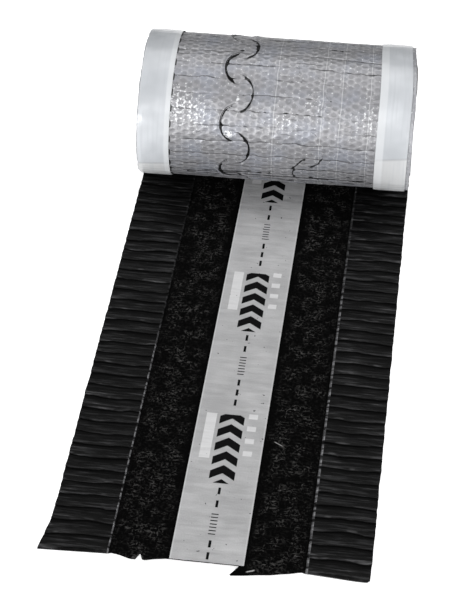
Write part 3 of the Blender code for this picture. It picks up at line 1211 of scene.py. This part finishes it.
@dataclass(frozen=True)
class SiliconedFilm:
    """Siliconed white polyethylene film, the release liner: satin, a little cool, glossy in the light.

    One fold crosses it where it leaves the coil, painted darker as shade in the crease. It is paler below
    that, and paler along its inner edge as a painted highlight.
    """

    dull: str = "#a9acb0"
    clear: str = "#bdc0c4"
    low: str = "#b9babb"
    # Darker line at the fold: painted shade in the crease.
    fold: str = "#919396"
    # Paler tone along the inner edge: painted highlight.
    edge: str = "#c8cacc"
    inner_edge: float = 117.0 * MM
    edge_half: float = 6.0 * MM
    fold_place: float = 408.5 * MM
    low_half: float = 100.0 * MM
    lean: float = 0.12
    haze_size: float = 40.0 * MM
    haze_height: float = 1.5 * MM
    streak_size: float = 3.0 * MM

    def build(self) -> bpy.types.Material:
        """Make the material.

        Returns:
            The liners' material.
        """
        material, tree, shader = new_material("siliconed white film")
        flat, across, along = flat_axes(tree)
        haze = add_node(
            tree,
            "TexNoise",
            {"Vector": flat, "Scale": 1.0 / self.haze_size, "Detail": 2.0},
            noise_dimensions="2D",
        )
        share = add_node(tree, "MapRange", [haze, 0.25, 0.7, 0.0, 1.0])
        slanted = add_node(tree, "Math", [across, self.lean, along], operation="MULTIPLY_ADD")
        below = stripe(tree, slanted, self.fold_place + self.low_half, self.low_half, 1.0 * MM)
        # The fold's line, painted darker as shade.
        crease = stripe(tree, slanted, self.fold_place, 0.5 * MM, 1.6 * MM)
        folded = add_node(tree, "Math", [crease, 0.5], operation="MULTIPLY")
        pulled = add_node(tree, "Mapping", {"Vector": flat, "Scale": (1.0, 0.05, 1.0)}, vector_type="POINT")
        streaks = add_node(
            tree,
            "TexNoise",
            {"Vector": pulled, "Scale": 1.0 / self.streak_size, "Detail": 3.0},
            noise_dimensions="2D",
        )
        streak = add_node(tree, "MapRange", [streaks, 0.5, 0.75, 0.0, 0.45])
        out = add_node(tree, "Math", [across], operation="ABSOLUTE")
        # Painted highlight along the inner edge.
        band = stripe(tree, out, self.inner_edge, self.edge_half, 1.5 * MM)
        paler = add_node(tree, "Math", [band, 0.6], operation="MULTIPLY")
        colour = linear(self.dull)
        for mask, coat in (
            (share, self.clear),
            (below, self.low),
            (folded, self.fold),
            (streak, self.dull),
            (paler, self.edge),
        ):
            colour = add_node(tree, "Mix", [mask, colour, linear(coat)], data_type="RGBA")
        raised = add_node(tree, "Bump", {"Strength": 0.9, "Distance": self.haze_height, "Height": haze})
        tree.links.new(colour, shader.inputs["Base Color"])
        tree.links.new(raised, shader.inputs["Normal"])
        shader.inputs["Roughness"].default_value = 0.2
        shader.inputs["Specular IOR Level"].default_value = 0.4
        return material


@dataclass(frozen=True)
class ButylRubber:
    """Black butyl compound: a soft satin with a rolled grain, drawn 1.5 millimetres coarse to show."""

    low: str = "#0b0b0c"
    high: str = "#1b1b1c"
    grain_size: float = 1.5 * MM
    grain_height: float = 0.2 * MM

    def build(self) -> bpy.types.Material:
        """Make the material.

        Returns:
            The butyl bands' material.
        """
        material, tree, shader = new_material("black butyl compound")
        place = add_node(tree, "TexCoord").node.outputs["Object"]
        grain = add_node(tree, "TexNoise", {"Vector": place, "Scale": 1.0 / self.grain_size, "Detail": 3.0})
        tone = add_node(tree, "Mix", [grain, linear(self.low), linear(self.high)], data_type="RGBA")
        raised = add_node(tree, "Bump", {"Strength": 0.4, "Distance": self.grain_height, "Height": grain})
        tree.links.new(tone, shader.inputs["Base Color"])
        tree.links.new(raised, shader.inputs["Normal"])
        shader.inputs["Roughness"].default_value = 0.5
        return material


@dataclass(frozen=True)
class StudioPaper:
    """Seamless white paper: plain, matte and almost white."""

    colour: str = "#fbfbfb"
    glow: float = 0.6

    def build(self) -> bpy.types.Material:
        """Make the material.

        Returns:
            The floor's material.
        """
        material, _, shader = new_material("white studio paper")
        shader.inputs["Base Color"].default_value = linear(self.colour)
        shader.inputs["Roughness"].default_value = 0.9
        shader.inputs["Specular IOR Level"].default_value = 0.0
        shader.inputs["Emission Color"].default_value = linear(self.colour)
        shader.inputs["Emission Strength"].default_value = self.glow
        return material


@dataclass
class FlashingSheet:
    """The pleated aluminium sheet: tongue, outer turn and the turns wound inside."""

    layout: Layout
    line: RibbonLine
    thickness: float = 0.4 * MM
    body_depth: float = 1.2 * MM
    pleat_pitch: float = PLEAT_PITCH
    crease_phase: float = 0.9
    crease_depth: float = 0.3 * MM
    crease_width: float = 0.75 * MM
    panel_bulge: float = 0.45 * MM
    fold_height: float = 1.5 * MM
    strip_width: float = 61.5 * MM
    edge_wander: float = 0.3 * MM
    corner_flare: float = 7.0 * MM
    corner_reach: float = 62.0 * MM
    end_fade: float = 40.0 * MM
    end_taper: float = 9.0 * MM
    fleece_side: float = 93.0 * MM
    middle_cut: float = 7.0 * MM
    right_run: float = 3.5 * MM
    right_rounding: float = 3.0 * MM
    left_run: float = 3.0 * MM
    drift: float = 1.6 * MM
    tremble: float = 0.35 * MM
    crumple_depth: float = 0.14 * MM
    smooth_edge: float = 146.0 * MM
    sink: float = 0.1 * MM
    wound_sink: float = 0.2 * MM
    pleat_drift: float = 1.3 * MM
    pleat_tremble: float = 0.5 * MM
    ridge_height: float = 0.1 * MM
    stray: float = 1.3 * MM
    narrowing: float = 0.9 * MM
    crinkle: float = 0.4 * MM
    finer_crinkle: float = 0.3 * MM
    gathers: GatheredFolds = GatheredFolds()

    # Rows of a fold: their places outside, then the places and heights of the pleat inside, as shares.
    CREASE_SHARES = (
        0.0, 0.018, 0.04, 0.075, 0.13, 0.21, 0.3, 0.4, 0.5, 0.6, 0.7, 0.79, 0.87, 0.925, 0.96, 0.982,
    )
    FOLD_SHARES = (
        1.0, 0.985, 0.99, 1.0, 1.004, 0.985, 0.945, 0.88, 0.8, 0.7, 0.58, 0.46, 0.34, 0.22, 0.12, 0.04,
    )
    FOLD_HEIGHTS = (
        0.0, 0.05, 0.25, 0.6, 0.85, 0.98, 1.02, 1.0, 0.95, 0.88, 0.8, 0.7, 0.58, 0.44, 0.28, 0.1,
    )

    def __post_init__(self) -> None:
        """Make the sheet's finishes, slit rows and unevenness."""
        self.slit_rows = (
            SlitRow(place=-43.5 * MM, gape=0.48 * MM, lift=1.0 * MM, wrinkle=1.4 * MM, broken=0.12),
            SlitRow(
                place=44.0 * MM, gape=1.5 * MM, lift=0.12 * MM, wrinkle=9.0 * MM, broken=-0.4,
                shown=(408.0 * MM, 442.0 * MM),
            ),
        )
        self.finishes = [
            EmbossedLacquer(self.slit_rows).build(),
            BlackLacquer().build(),
            CutFoilEdge().build(),
        ]
        self.wander = Ripples(140.0 * MM, seed=21)
        self.waver = Ripples(26.0 * MM, seed=22)
        self.strength = Ripples(90.0 * MM, seed=23, stretch=1.6)
        self.crumple = Ripples(13.0 * MM, seed=24)
        self.fine_ridges = Ripples(5.5 * MM, seed=25, stretch=14.0)
        self.swell = Ripples(60.0 * MM, seed=26, stretch=2.0)

    def edge_shift(self, share: np.ndarray, along: np.ndarray) -> np.ndarray:
        """Move the sheet's edges in and out a little, and flare its near left corner.

        Args:
            share: Place across, from minus one at the left edge to one at the right.
            along: Distance along the ribbon.

        Returns:
            The shift in x: unevenness that fades to nothing 12% in from each edge, less the flare, which
            grows as the square of the distance past its start and fades to the fleece's side.
        """
        rim = ease((np.abs(share) - 0.88) / 0.12)
        uneven = self.edge_wander * Ripples(17.0 * MM, seed=31).at(share * 0.2, along) * rim
        past = np.clip((-along - self.layout.tongue_length + self.corner_reach) / self.corner_reach, 0.0, 1.0)
        flare = self.corner_flare * past**2 * ease((-share - 0.58) / 0.42)
        return uneven - flare

    def end_shift(self, share: np.ndarray, along: np.ndarray) -> np.ndarray:
        """Draw the free end in or out, at each place across, and let that fade along the tongue.

        Between the pleated strips the sheet stops short of the fleece. Both corners run on a little,
        and the right one is rounded off.

        Args:
            share: Place across, from minus one to one.
            along: Distance along the ribbon.

        Returns:
            The shift along the ribbon, positive towards the coil.
        """
        across = share * self.layout.half_width
        middle = self.middle_cut * ease((self.fleece_side - np.abs(across)) / (4.0 * MM))
        right = -self.right_run * ease((across - self.fleece_side) / (58.0 * MM))
        rounded = self.right_rounding * ease((share - 0.972) / 0.028) ** 2
        left = -self.left_run * ease((-across - 90.0 * MM) / (64.0 * MM))
        fade = ease(1.0 - (along + self.layout.tongue_length) / self.end_fade)
        return (middle + right + rounded + left) * fade

    def outside(self, share: np.ndarray, fold: np.ndarray) -> Side:
        """Shape the grey outside, where each fold shows as a crease between softly swollen panels.

        The distance along is the fold number times the pitch, plus a slow wander. A crease is a rounded
        groove at each whole fold number, and a panel swells by one less the square of its own centre.

        Args:
            share: Place across, from minus one to one, as a row.
            fold: Fold number, as a column.

        Returns:
            The outer grid.
        """
        share, fold = np.broadcast_arrays(share, fold)
        across = share * self.layout.half_width
        even = (fold - self.crease_phase) * self.pleat_pitch
        along = even + self.drift * self.wander.at(across, even)
        along = along + self.tremble * self.waver.at(across, even)
        nearest = np.round(fold)
        offset = (fold - nearest) * self.pleat_pitch
        strength = np.clip(0.45 + 0.75 * self.strength.at(across, nearest * self.pleat_pitch), 0.05, 1.2)
        crease = bump(offset, self.crease_width) * strength
        inside_panel = 1.0 - (2.0 * (fold - np.floor(fold)) - 1.0) ** 2
        height = self.panel_bulge * (0.6 + 0.5 * self.swell.at(across, even)) * inside_panel
        height += self.crumple_depth * self.crumple.at(across, along) - self.crease_depth * crease
        height += self.gathers.relief(across, even)
        for row in self.slit_rows:
            height += row.relief(across, along)
        height *= 1.0 - 0.85 * ease((np.abs(across) - self.smooth_edge) / (6.0 * MM))
        marks = {
            "fold": fold,
            "squeeze": self.gathers.squeeze(even),
            "gather": self.gathers.away(across, even),
        }
        across = across + self.edge_shift(share, along)
        along = along + self.end_shift(share, along)
        points = self.line.place(across, along, height - self.sink)
        return Side(points, flat_places(across, along), marks)

    def inside(self, share: np.ndarray, fold: np.ndarray, pleated: bool) -> Side:
        """Shape the black inside, whose edge strips are folded into flat pleats.

        Each pleat climbs from the coil's side to a rounded fold on the near side, drops, and runs a
        little way back under it.

        Args:
            share: Place across, from minus one to one, as a row.
            fold: Fold number, as a column with as many values for each fold as the lists of shares.
            pleated: Whether the strips carry their pleats, or lie flat inside the coil.

        Returns:
            The inner grid.
        """
        share, fold = np.broadcast_arrays(share, fold)
        across = share * self.layout.half_width
        number = np.floor(fold + 1e-6)
        if pleated:
            count = len(self.FOLD_SHARES)
            rows = np.arange(fold.shape[0]) % count
            near = 1.0 - np.array(self.FOLD_SHARES)[rows][:, None]
            height_share = np.array(self.FOLD_HEIGHTS)[rows][:, None]
            strip = ease((np.abs(across) - (self.layout.half_width - self.strip_width)) / (1.2 * MM))
            place = number + near * strip + (fold - number) * (1.0 - strip)
            even = (place - self.crease_phase) * self.pleat_pitch
        else:
            height_share = np.zeros_like(fold)
            strip = np.ones_like(fold)
            even = (fold - self.crease_phase) * self.pleat_pitch
        slant = self.pleat_drift * self.wander.at(across * 2.2, even)
        along = even + (slant + self.pleat_tremble * self.waver.at(across, even))
        tall = self.fold_height * (0.85 + 0.3 * self.strength.at(across * 0.5, number * self.pleat_pitch))
        height = tall * height_share + self.ridge_height * self.fine_ridges.at(across, along)
        depth = self.thickness + (self.body_depth - self.thickness) * (0.4 if pleated else 0.0)
        flattened = ease((along + self.layout.tongue_length) / self.end_taper)
        depth = depth + height * strip * flattened * (0.94 if pleated else 0.0)
        across = across + self.edge_shift(share, along)
        along = along + self.end_shift(share, along)
        points = self.line.place(across, along, -depth)
        # Where the finish paints a highlight on each pleat's crest.
        crest = bump(height_share - 1.02, 0.025) * strip * flattened * (1.0 if pleated else 0.0)
        # Where the finish paints shade at the foot of each pleat.
        valley = bump(height_share, 0.7) * strip * flattened * (1.0 if pleated else 0.0)
        return Side(points, flat_places(across, along), {"crest": crest, "valley": valley})

    def _outer_columns(self) -> np.ndarray:
        """Choose the columns of the outside.

        Returns:
            Places from minus one to one, closest together over the slit rows and at the edges.
        """
        half = self.layout.half_width / MM
        stops = [
            np.linspace(-half, -half + 3.0, 4),
            np.arange(-half + 6.0, -65.0, 3.2),
            np.arange(-65.0, -22.0, 0.8),
            np.arange(-22.0, 19.0, 2.6),
            np.arange(19.0, 61.0, 1.3),
            np.arange(61.0, half - 6.0, 3.2),
            np.linspace(half - 3.0, half, 4),
        ]
        return np.concatenate(stops) / half

    def _inner_columns(self, fine: bool) -> np.ndarray:
        """Choose the columns of the inside.

        Args:
            fine: Whether they are fine over the pleated strips, or only a few, for inside the coil.

        Returns:
            Places from minus one to one.
        """
        half = self.layout.half_width / MM
        inner = half - self.strip_width / MM
        if not fine:
            few = [-half, -half + 4.0, -100.0, -50.0, 0.0, 50.0, 100.0, half - 4.0, half]
            return np.array(few) / half
        strip = np.concatenate([np.linspace(inner, inner + 3.0, 5), np.linspace(inner + 5.2, half, 24)])
        return np.concatenate([-strip[::-1], np.linspace(-inner + 20.0, inner - 20.0, 5), strip]) / half

    def _folds(self, low: float, high: float) -> np.ndarray:
        """Choose the rows.

        Args:
            low: The first whole fold.
            high: The whole fold that they stop before.

        Returns:
            Their fold numbers as a column, with the same unequal steps in each fold.
        """
        whole = np.arange(low, high)
        steps = np.array(self.CREASE_SHARES)
        return (whole[:, None] + steps[None, :]).ravel()[:, None]

    def build_tongue(self) -> bpy.types.Object:
        """Build the flat tongue, with a crease below and a pleat above at each fold.

        Returns:
            The piece.
        """
        first = math.ceil(-self.layout.tongue_length / self.pleat_pitch + self.crease_phase)
        folds = self._folds(first, 2)
        coarse = self._outer_columns()[::3]
        coarse[-1] = 1.0
        fine = self._inner_columns(True)
        outer = self.outside(coarse[None, :], folds)
        inner = self.inside(fine[None, :], folds, pleated=True)
        end = np.array(-self.layout.tongue_length)
        for side, columns in ((outer, coarse), (inner, fine)):
            side.points[0, :, 1] = self.layout.axis_y + end + self.end_shift(columns, end)
        return make_shell("sheet_tongue", outer, inner, self.finishes)

    def build_outer_turn(self) -> bpy.types.Object:
        """Build the turn that shows around the coil, with its creases and slits.

        Returns:
            The piece.
        """
        last = math.ceil(self.line.along_at(1.08) / self.pleat_pitch + self.crease_phase)
        folds = self._folds(1, last)
        outer = self.outside(self._outer_columns()[None, :], folds)
        inner = self.inside(self._inner_columns(False)[None, :], folds, pleated=False)
        return make_shell("sheet_outer_turn", outer, inner, self.finishes)

    def build_wound_turns(self) -> bpy.types.Object:
        """Build the turns inside, which show at the coil's ends and in its bore.

        Their edges stray sideways from turn to turn, and their pleats crinkle them.

        Returns:
            The piece.
        """
        start = self.line.along_at(1.05)
        stop = self.line.along_at(self.line.turns - 0.15)
        along = np.linspace(start, stop, int((stop - start) / (3.0 * MM)))[:, None]
        half = self.layout.half_width / MM
        columns = [-half, -half + 1.5, -half + 6.0, -60.0, 0.0, 60.0, half - 6.0, half - 1.5, half]
        share = np.array(columns)[None] / half
        share_grid, along_grid = np.broadcast_arrays(share, along)
        middle = np.zeros_like(along_grid)
        stray = self.stray * Ripples(340.0 * MM, seed=41).at(middle, along_grid) - self.narrowing
        across = share_grid * self.layout.half_width + stray * share_grid
        crinkle = self.crinkle * np.sin(FULL_TURN * along_grid / self.pleat_pitch)
        crinkle += self.finer_crinkle * Ripples(15.0 * MM, seed=42).at(across, along_grid)
        sides = []
        for depth in (0.0, self.thickness):
            points = self.line.place(across, along_grid, crinkle - depth - self.wound_sink)
            sides.append(Side(points, flat_places(across, along_grid)))
        return make_shell("sheet_wound_turns", sides[0], sides[1], self.finishes)


@dataclass
class TopLayer:
    """A layer on the sheet's inner face: the fleece, or the strip on top of it."""

    layout: Layout
    line: RibbonLine
    half_width: float
    level: float
    thickness: float
    finish: bpy.types.Material
    relief: Ripples
    relief_depth: float
    tail: float = 0.0
    lobe: float = 0.0
    notch_depth: float = 0.0
    notch_place: float = -64.0 * MM
    tail_span: tuple[float, float] = (33.0 * MM, 93.0 * MM)
    tail_lean: float = 1.5
    jump_run: float = 5.0 * MM
    notch_half_width: float = 3.0 * MM
    lobe_rise: float = 22.0 * MM
    lobe_end: float = -36.0 * MM
    lobe_fall: float = 26.0 * MM
    end_wander: float = 0.5 * MM
    nip_rise: float = 0.3 * MM
    overhang_drop: float = 2.6 * MM
    wound_rise: float = 0.9 * MM
    step: float = 2.0 * MM

    def _tail_share(self, across: np.ndarray) -> np.ndarray:
        """One as far as the tail's start, falling evenly to zero at the fleece's side."""
        start, end = self.tail_span
        return np.clip((end - across) / (end - start), 0.0, 1.0)

    def _end_shift(self, across: np.ndarray) -> np.ndarray:
        """Shape the free end, where the knife ran a little crooked.

        Past the strip's edge the end jumps out by the tail's length, and comes back evenly to the
        fleece's side. A lobe swells it on the other side, and a notch is a small triangle cut into it.

        Args:
            across: Distance across the roll.

        Returns:
            How far the free end stands out past the sheet's.
        """
        jump = ease((across - self.tail_span[0]) / self.jump_run)
        nick = np.clip(1.0 - np.abs(across - self.notch_place) / self.notch_half_width, 0.0, 1.0)
        rising = ease((across + self.tail_span[1]) / self.lobe_rise)
        lobe = rising * ease((self.lobe_end - across) / self.lobe_fall)
        uneven = self.end_wander * Ripples(23.0 * MM, seed=51).at(across, np.zeros_like(across))
        tail = self.tail * jump * self._tail_share(across)
        return uneven + tail + self.lobe * lobe - self.notch_depth * nick

    def _nip(self) -> float:
        """How far before the coil's lowest point the layer's top meets the coil: a chord's half length."""
        rise = self.level + self.thickness + self.nip_rise - self.line.floor
        return math.sqrt(self.line.radius**2 - (self.line.radius - rise) ** 2)

    def length(self) -> float:
        """The layer's length from the free end to where the coil takes it in."""
        return self.layout.tongue_length - self._nip()

    def _bore_rows(self) -> tuple[np.ndarray, float]:
        """Choose the rows of the last turn inside the coil.

        Returns:
            Their places along the line, and how far within the line the layer's far side is.
        """
        start = self.line.along_at(self.line.turns - 1.35)
        stop = self.line.along_at(self.line.turns - 0.17)
        rows = np.linspace(start, stop, int((stop - start) / (2.0 * MM)))
        return rows, self.level - self.line.floor - self.wound_rise

    def bore_length(self) -> float:
        """Measure the last turn inside the coil, at half the layer's thickness.

        Returns:
            The sum of the distances between the places along it.
        """
        rows, depth = self._bore_rows()
        inward = np.full_like(rows, -depth - self.thickness / 2.0)
        points = self.line.place(np.zeros_like(rows), rows, inward)
        return float(np.linalg.norm(np.diff(points, axis=0), axis=1).sum())

    def build_in_bore(self, name: str) -> bpy.types.Object:
        """Build the last turn inside the coil, which shows in its bore.

        Args:
            name: The piece's name.

        Returns:
            The piece: two grids a thickness apart, each at one distance inside the sheet's line.
        """
        rows, depth = self._bore_rows()
        columns = int(self.half_width / (3.0 * MM))
        across = np.linspace(-self.half_width, self.half_width, columns)[None, :]
        across, along = np.broadcast_arrays(across, rows[:, None])
        uneven = 0.5 + 0.5 * self.relief.at(across, along)
        pressed = np.clip(0.5 * self.relief_depth * uneven, 0.0, None)
        flat = flat_places(across, along)
        outer = Side(self.line.place(across, along, -depth), flat)
        inner = Side(self.line.place(across, along, -depth - self.thickness + pressed), flat)
        return make_shell(name, outer, inner, [self.finish] * 3)

    def build(self, name: str) -> bpy.types.Object:
        """Build the stretch that lies on the tongue.

        Args:
            name: The piece's name.

        Returns:
            The piece: two grids a thickness apart, the upper one pressed down here and there.
        """
        top = self.level + self.thickness
        nip = self._nip()
        columns = int(2.0 * self.half_width / self.step) + 1
        across = np.linspace(-self.half_width, self.half_width, columns)[None, :]
        rows = int((self.layout.tongue_length - nip) / self.step) + 1
        along = np.linspace(-self.layout.tongue_length, -nip, rows)[:, None]
        across, along = np.broadcast_arrays(across, along)
        fade = ease(1.0 - (along + self.layout.tongue_length) / (30.0 * MM))
        along = along - self._end_shift(across) * fade
        past_sheet = -along - self.layout.tongue_length
        beyond = np.clip(past_sheet, 0.0, self.tail)
        leant = self.tail_lean * beyond * self._tail_share(across)
        across = across - leant * (across > self.tail_span[0])
        dropped = self.overhang_drop * ease(past_sheet / (6.0 * MM))
        uneven = 0.5 + 0.5 * self.relief.at(across, along)
        pressed = np.clip(self.relief_depth * uneven, 0.0, self.relief_depth) + dropped
        lower = self.line.place(across, along, self.line.floor - self.level + dropped)
        upper = self.line.place(across, along, self.line.floor - top + pressed)
        flat = flat_places(across, along)
        return make_shell(name, Side(lower, flat), Side(upper, flat), [self.finish] * 3)


@dataclass
class EdgeBand:
    """A butyl band or its release liner, from the tongue's free end around the coil and on inside it."""

    layout: Layout
    line: RibbonLine
    span: tuple[float, float]
    level: float
    thickness: float
    finish: bpy.types.Material
    swell: float
    ragged: float
    fine_step: float = 2.0 * MM
    coarse_step: float = 5.0 * MM
    end_inset: float = 2.5 * MM
    columns: int = 14
    seed: int = 61
    gathers: GatheredFolds = GatheredFolds()

    def build(self, name: str) -> bpy.types.Object:
        """Build the band.

        Args:
            name: The piece's name.

        Returns:
            The piece: two grids a thickness apart, swollen a little between its edges on the coil.
        """
        outer_end = self.line.along_at(1.0)
        inner_end = self.line.along_at(self.line.turns - 0.3)
        fine = np.arange(self.end_inset - self.layout.tongue_length, outer_end, self.fine_step)
        coarse = np.arange(outer_end, inner_end, self.coarse_step)
        along = np.concatenate([fine, coarse])[:, None]
        share = np.linspace(-1.0, 1.0, self.columns)[None, :]
        share, along = np.broadcast_arrays(share, along)
        middle = (self.span[0] + self.span[1]) / 2.0
        half = (self.span[1] - self.span[0]) / 2.0
        inward = -1.0 if middle > 0.0 else 1.0
        at_inner_edge = ease((share * inward - 0.8) / 0.2)
        tooth = np.sin(FULL_TURN * along / PLEAT_PITCH)
        jagged = self.ragged * ease(0.5 + 1.6 * tooth) * at_inner_edge * inward
        across = middle + share * half + jagged
        base = self.line.floor - self.level - self.thickness
        on_coil = ease(along / (40.0 * MM))
        unevenness = Ripples(55.0 * MM, seed=self.seed).at(across, along)
        rounded = self.swell * (1.0 - share**4) - 0.6 * self.swell * np.abs(share) ** 6
        lifted = on_coil * (rounded + 0.35 * self.swell * unevenness)
        lifted += 0.5 * self.gathers.relief(across, along)
        flat = flat_places(across, along)
        outer = self.line.place(across, along, base + self.thickness + lifted)
        inner = self.line.place(across, along, base + lifted)
        return make_shell(name, Side(outer, flat), Side(inner, flat), [self.finish] * 3)


@dataclass(frozen=True)
class Studio:
    """White paper, soft light and the camera at the photograph's angle."""

    camera_place: tuple[float, float, float] = (0.15875, -1.80084, 1.44777)
    camera_turn: tuple[float, float, float] = (0.90319, -0.02358, 0.12016)
    focal_length: float = 127.3
    room_light: float = 0.29

    def lay_paper(self) -> None:
        """Lay the floor just below the roll."""
        bpy.ops.mesh.primitive_plane_add(size=12.0, location=(0.0, 0.0, -0.0002))
        floor = bpy.context.active_object
        floor.name = "studio_paper"
        floor.data.materials.append(StudioPaper().build())

    def hang_lights(self) -> None:
        """Hang two strip lamps and four soft boxes, and fill from all round with a white world."""
        boxes = (
            ("left_strip_lamp", (-0.45, -1.85, 1.06), (0.1, 0.6), 2.4),
            ("right_strip_lamp", (0.1, -1.85, 1.1), (0.1, 0.6), 1.2),
            ("low_left_box", (-1.0, -2.3, 0.4), (1.1, 0.7), 38.0),
            ("low_right_box", (1.2, -2.3, 0.4), (1.1, 0.7), 20.0),
            ("camera_box", (-0.1, -2.4, 1.75), (2.6, 1.5), 20.0),
            ("top_box", (0.2, 0.6, 2.2), (2.4, 1.6), 29.0),
        )
        for name, place, size, power in boxes:
            lamp = bpy.data.lights.new(name, "AREA")
            lamp.shape = "RECTANGLE"
            lamp.size, lamp.size_y = size
            lamp.energy = power
            item = bpy.data.objects.new(name, lamp)
            item.location = place
            item.visible_camera = False
            aim = -item.location
            item.rotation_euler = aim.to_track_quat("-Z", "Y").to_euler()
            bpy.context.scene.collection.objects.link(item)
        world = bpy.data.worlds.new("white_room")
        world.use_nodes = True
        background = world.node_tree.nodes["Background"]
        background.inputs["Color"].default_value = (1.0, 1.0, 1.0, 1.0)
        background.inputs["Strength"].default_value = self.room_light
        bpy.context.scene.world = world

    def choose_print(self) -> None:
        """Show the colours as they are, with whites that reach white, as in a catalogue print."""
        bpy.context.scene.view_settings.view_transform = "Standard"

    def place_camera(self) -> None:
        """Stand the camera where it sees the roll as the photograph does."""
        lens = bpy.data.cameras.new("camera")
        lens.lens = self.focal_length
        lens.sensor_width = 36.0
        lens.clip_end = 50.0
        camera = bpy.data.objects.new("camera", lens)
        camera.location = self.camera_place
        camera.rotation_euler = Euler(self.camera_turn)
        bpy.context.scene.collection.objects.link(camera)
        bpy.context.scene.camera = camera


def settle(piece: bpy.types.Object, slot: str, *nodes: str) -> None:
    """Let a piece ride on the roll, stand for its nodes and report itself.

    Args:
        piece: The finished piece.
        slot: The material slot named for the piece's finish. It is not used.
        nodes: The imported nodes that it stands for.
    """
    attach(piece, "root")
    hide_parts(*nodes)
    LOG.info("%s: %d faces", piece.name, len(piece.data.polygons))


def main() -> None:
    """Build every piece in order, then the studio around it."""
    logging.basicConfig(level=logging.INFO, format="%(name)s %(message)s")
    layout = Layout.from_frame()
    line = RibbonLine(layout.axis_y, layout.axis_z, layout.coil_radius)

    sheet = FlashingSheet(layout, line)
    for build in (sheet.build_tongue, sheet.build_outer_turn, sheet.build_wound_turns):
        settle(build(), "coated_aluminium", "flashing_sheet")

    fleece = TopLayer(
        layout, line, layout.fleece_half_width, layout.fleece_level, 1.0 * MM,
        NonwovenFleece().build(), Ripples(11.0 * MM, seed=52), 0.35 * MM,
        tail=12.0 * MM, lobe=3.2 * MM, notch_depth=8.5 * MM,
    )
    fleece_piece = fleece.build("fleece_on_tongue")
    settle(fleece_piece, "fleece", "vent_fleece")
    fleece_cut = (2.0 * layout.fleece_half_width, fleece.length())

    strip = TopLayer(
        layout, line, layout.strip_half_width, layout.strip_level, 0.4 * MM,
        PrintedStrip(half_width=layout.strip_half_width, length=layout.tongue_length).build(),
        Ripples(16.0 * MM, seed=53, stretch=5.0), 0.22 * MM,
    )
    strip_piece = strip.build("printed_centre_strip")
    settle(strip_piece, "strip", "centre_strip")
    strip_cut = (2.0 * layout.strip_half_width, strip.length())

    for layer, name, slot, node, below in (
        (fleece, "fleece_in_bore", "fleece", "vent_fleece", "sheet_wound_turns"),
        (strip, "strip_in_bore", "strip", "centre_strip", "fleece_in_bore"),
    ):
        wound = layer.build_in_bore(name)
        settle(wound, slot, node)
        layer.bore_length()

    butyl = ButylRubber().build()
    film = SiliconedFilm().build()
    ragged = {Hand.LEFT: 3.0 * MM, Hand.RIGHT: 1.5 * MM}
    for hand in Hand:
        side = hand.value
        band = EdgeBand(
            layout, line, layout.butyl_spans[hand], layout.butyl_level, 0.8 * MM, butyl,
            swell=0.1 * MM, ragged=ragged[hand],
        )
        settle(band.build(f"butyl_band_{side}"), "butyl", f"butyl_{side}")
        cover = EdgeBand(
            layout, line, layout.liner_spans[hand], 0.0, 0.3 * MM, film,
            swell=0.25 * MM, ragged=0.0, seed=62,
        )
        settle(cover.build(f"liner_film_{side}"), "liner", f"liner_{side}")

    studio = Studio()
    studio.lay_paper()
    studio.hang_lights()
    studio.place_camera()
    studio.choose_print()


if __name__ == "__main__":
    main()
